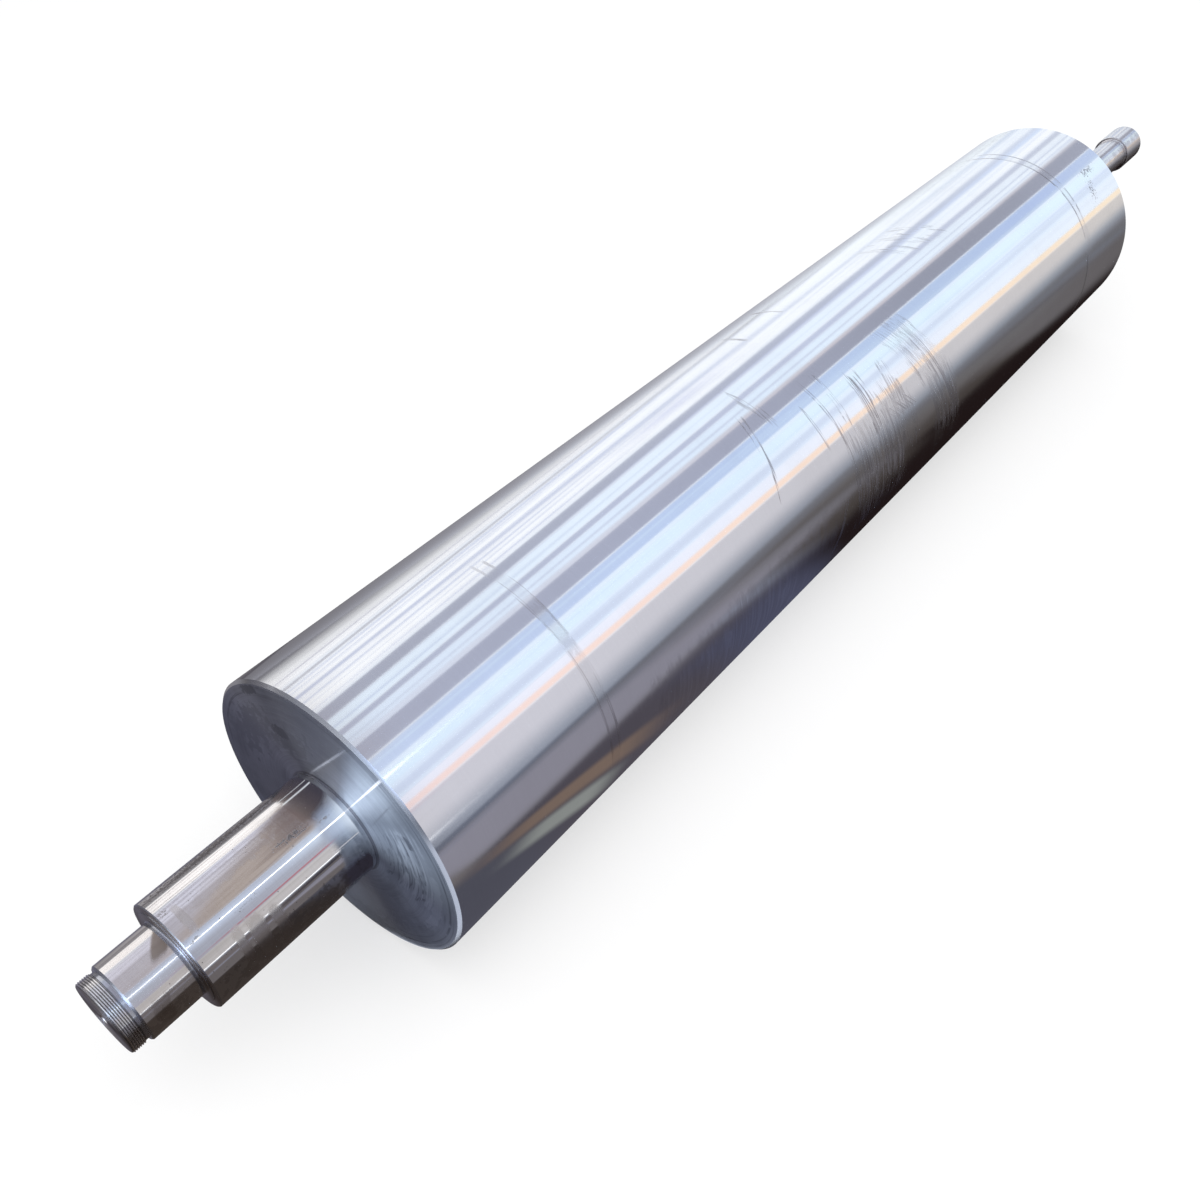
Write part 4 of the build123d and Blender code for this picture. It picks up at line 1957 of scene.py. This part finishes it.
@dataclass(frozen=True)
class Studio:
    """The floor, the backdrop, the soft light and the camera.

    Attributes:
        camera_place: Where the camera stands.
        camera_aim: A point in the middle of its view.
        lens: Its focal length in millimetres.
        sensor: Its sensor's width in millimetres.
        clip: The nearest and the farthest that it sees.
        floor_size: Side of the floor.
        floor_colour: The floor's colour.
        floor_rough: Its roughness.
        floor_glow: How much of the floor is light of its own to the camera.
        world_light: Strength of the light from all round.
        key_place: Where the soft light hangs, aimed at the middle of the roller.
        key_size: Its sides.
        key_power: Its power.
        tent_colour: What the metal shows between the cards.
    """

    camera_place: tuple[float, float, float] = (-1.1371, -0.5921, 0.8977)
    camera_aim: tuple[float, float, float] = (-0.461, -0.0508, 0.0671)
    lens: float = 34.08
    sensor: float = 36.0
    clip: tuple[float, float] = (0.01, 200.0)
    floor_size: float = 60.0
    floor_colour: Colour = (0.93, 0.93, 0.93)
    floor_rough: float = 0.9
    floor_glow: float = 0.55
    world_light: float = 1.0
    key_place: tuple[float, float, float] = (-0.6, -0.9, 3.0)
    key_size: tuple[float, float] = (4.0, 2.5)
    key_power: float = 45.0
    tent_colour: Levels = (238, 244, 252)

    def build(self) -> None:
        """Sets up the whole studio."""
        bpy.context.scene.view_settings.view_transform = "Standard"
        self.lay_floor()
        self.light_world()
        self.hang_key_light()
        for card in (*ROOM_CARDS, *NEAR_CARDS, *FACE_CARDS, *SCREENS, *CLOTHS):
            card.build()
        self.place_camera()

    def lay_floor(self) -> None:
        """Lays the pale floor, which keeps the roller's shadow."""
        bpy.ops.object.select_all(action="DESELECT")
        bpy.ops.mesh.primitive_plane_add(size=self.floor_size, location=(0.0, 0.0, FLOOR_Z))
        floor = bpy.context.object
        floor.name = "floor"
        bpy.ops.object.transform_apply(location=True, rotation=True, scale=True)
        material = bpy.data.materials.new("pale_floor")
        bench = Bench.cleared(material)
        matt = bench.add(
            "ShaderNodeBsdfPrincipled",
            {"Base Color": self.floor_colour, "Roughness": self.floor_rough, "Specular IOR Level": 0.0},
        ).outputs[0]
        white = bench.add("ShaderNodeEmission", {"Color": PURE_WHITE, "Strength": 1.0}).outputs[0]
        rays = bench.add("ShaderNodeLightPath").outputs
        seen = bench.math("MAXIMUM", rays["Is Camera Ray"], rays["Is Glossy Ray"])
        seen = bench.math("MAXIMUM", seen, rays["Is Transmission Ray"])
        share = bench.math("MULTIPLY", seen, self.floor_glow)
        surface = bench.add("ShaderNodeMixShader", {0: share, 1: matt, 2: white}).outputs[0]
        bench.add("ShaderNodeOutputMaterial", {"Surface": surface})
        material.cycles.emission_sampling = "NONE"
        floor.data.materials.append(material)
        floor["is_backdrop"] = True

    def light_world(self) -> None:
        """White behind everything, the tent's colour in the metal, soft light elsewhere."""
        world = bpy.data.worlds.new("studio")
        bpy.context.scene.world = world
        bench = Bench.cleared(world)
        rays = bench.add("ShaderNodeLightPath").outputs
        white, soft, tent = (
            bench.add("ShaderNodeBackground", {"Color": colour, "Strength": strength}).outputs[0]
            for colour, strength in (
                (PURE_WHITE, 1.0), (PURE_WHITE, self.world_light), (linear(self.tent_colour), GLOW),
            )
        )
        lit = bench.add("ShaderNodeMixShader", {0: rays["Is Glossy Ray"], 1: soft, 2: tent}).outputs[0]
        seen = bench.math("MAXIMUM", rays["Is Camera Ray"], rays["Is Transmission Ray"])
        surface = bench.add("ShaderNodeMixShader", {0: seen, 1: lit, 2: white}).outputs[0]
        bench.add("ShaderNodeOutputWorld", {"Surface": surface})

    def hang_key_light(self) -> None:
        """A large soft light above the roller."""
        bpy.ops.object.light_add(type="AREA", location=self.key_place)
        light = bpy.context.object
        light.name = "key_light"
        light.data.shape = "RECTANGLE"
        light.data.size, light.data.size_y = self.key_size
        light.data.energy = self.key_power
        light.rotation_euler = (-Vector(self.key_place)).to_track_quat("-Z", "Y").to_euler()
        light.visible_glossy = False

    def place_camera(self) -> None:
        """Puts the camera where the photograph was taken from."""
        bpy.ops.object.camera_add(location=self.camera_place)
        camera = bpy.context.object
        camera.name = "camera"
        view = Vector(self.camera_aim) - Vector(self.camera_place)
        camera.rotation_euler = view.to_track_quat("-Z", "Y").to_euler()
        camera.data.lens = self.lens
        camera.data.sensor_width = self.sensor
        camera.data.clip_start, camera.data.clip_end = self.clip
        bpy.context.scene.camera = camera


def write_sizes(cad_box: tuple[Vector, Vector]) -> None:
    """Works out the CAD model's box and the visual model's, but keeps neither.

    Args:
        cad_box: The CAD model's lowest and highest corners.
    """
    boxes = {"cad": cad_box, "visual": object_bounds()}
    boxes = {name: [list(corner) for corner in box] for name, box in boxes.items()}


def main() -> None:
    """Builds the effects, the roller and the studio, in that order."""
    logging.basicConfig(level=logging.INFO, format="%(message)s")
    cad_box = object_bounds()
    for effect in EFFECTS:
        effect.build()
    roller = Roller()
    roller.build()
    roller.dress()
    roller.mount()
    LOG.info("%s: %d faces", roller.name, len(roller.body.data.polygons))
    Studio().build()
    write_sizes(cad_box)


if __name__ == "__main__":
    main()
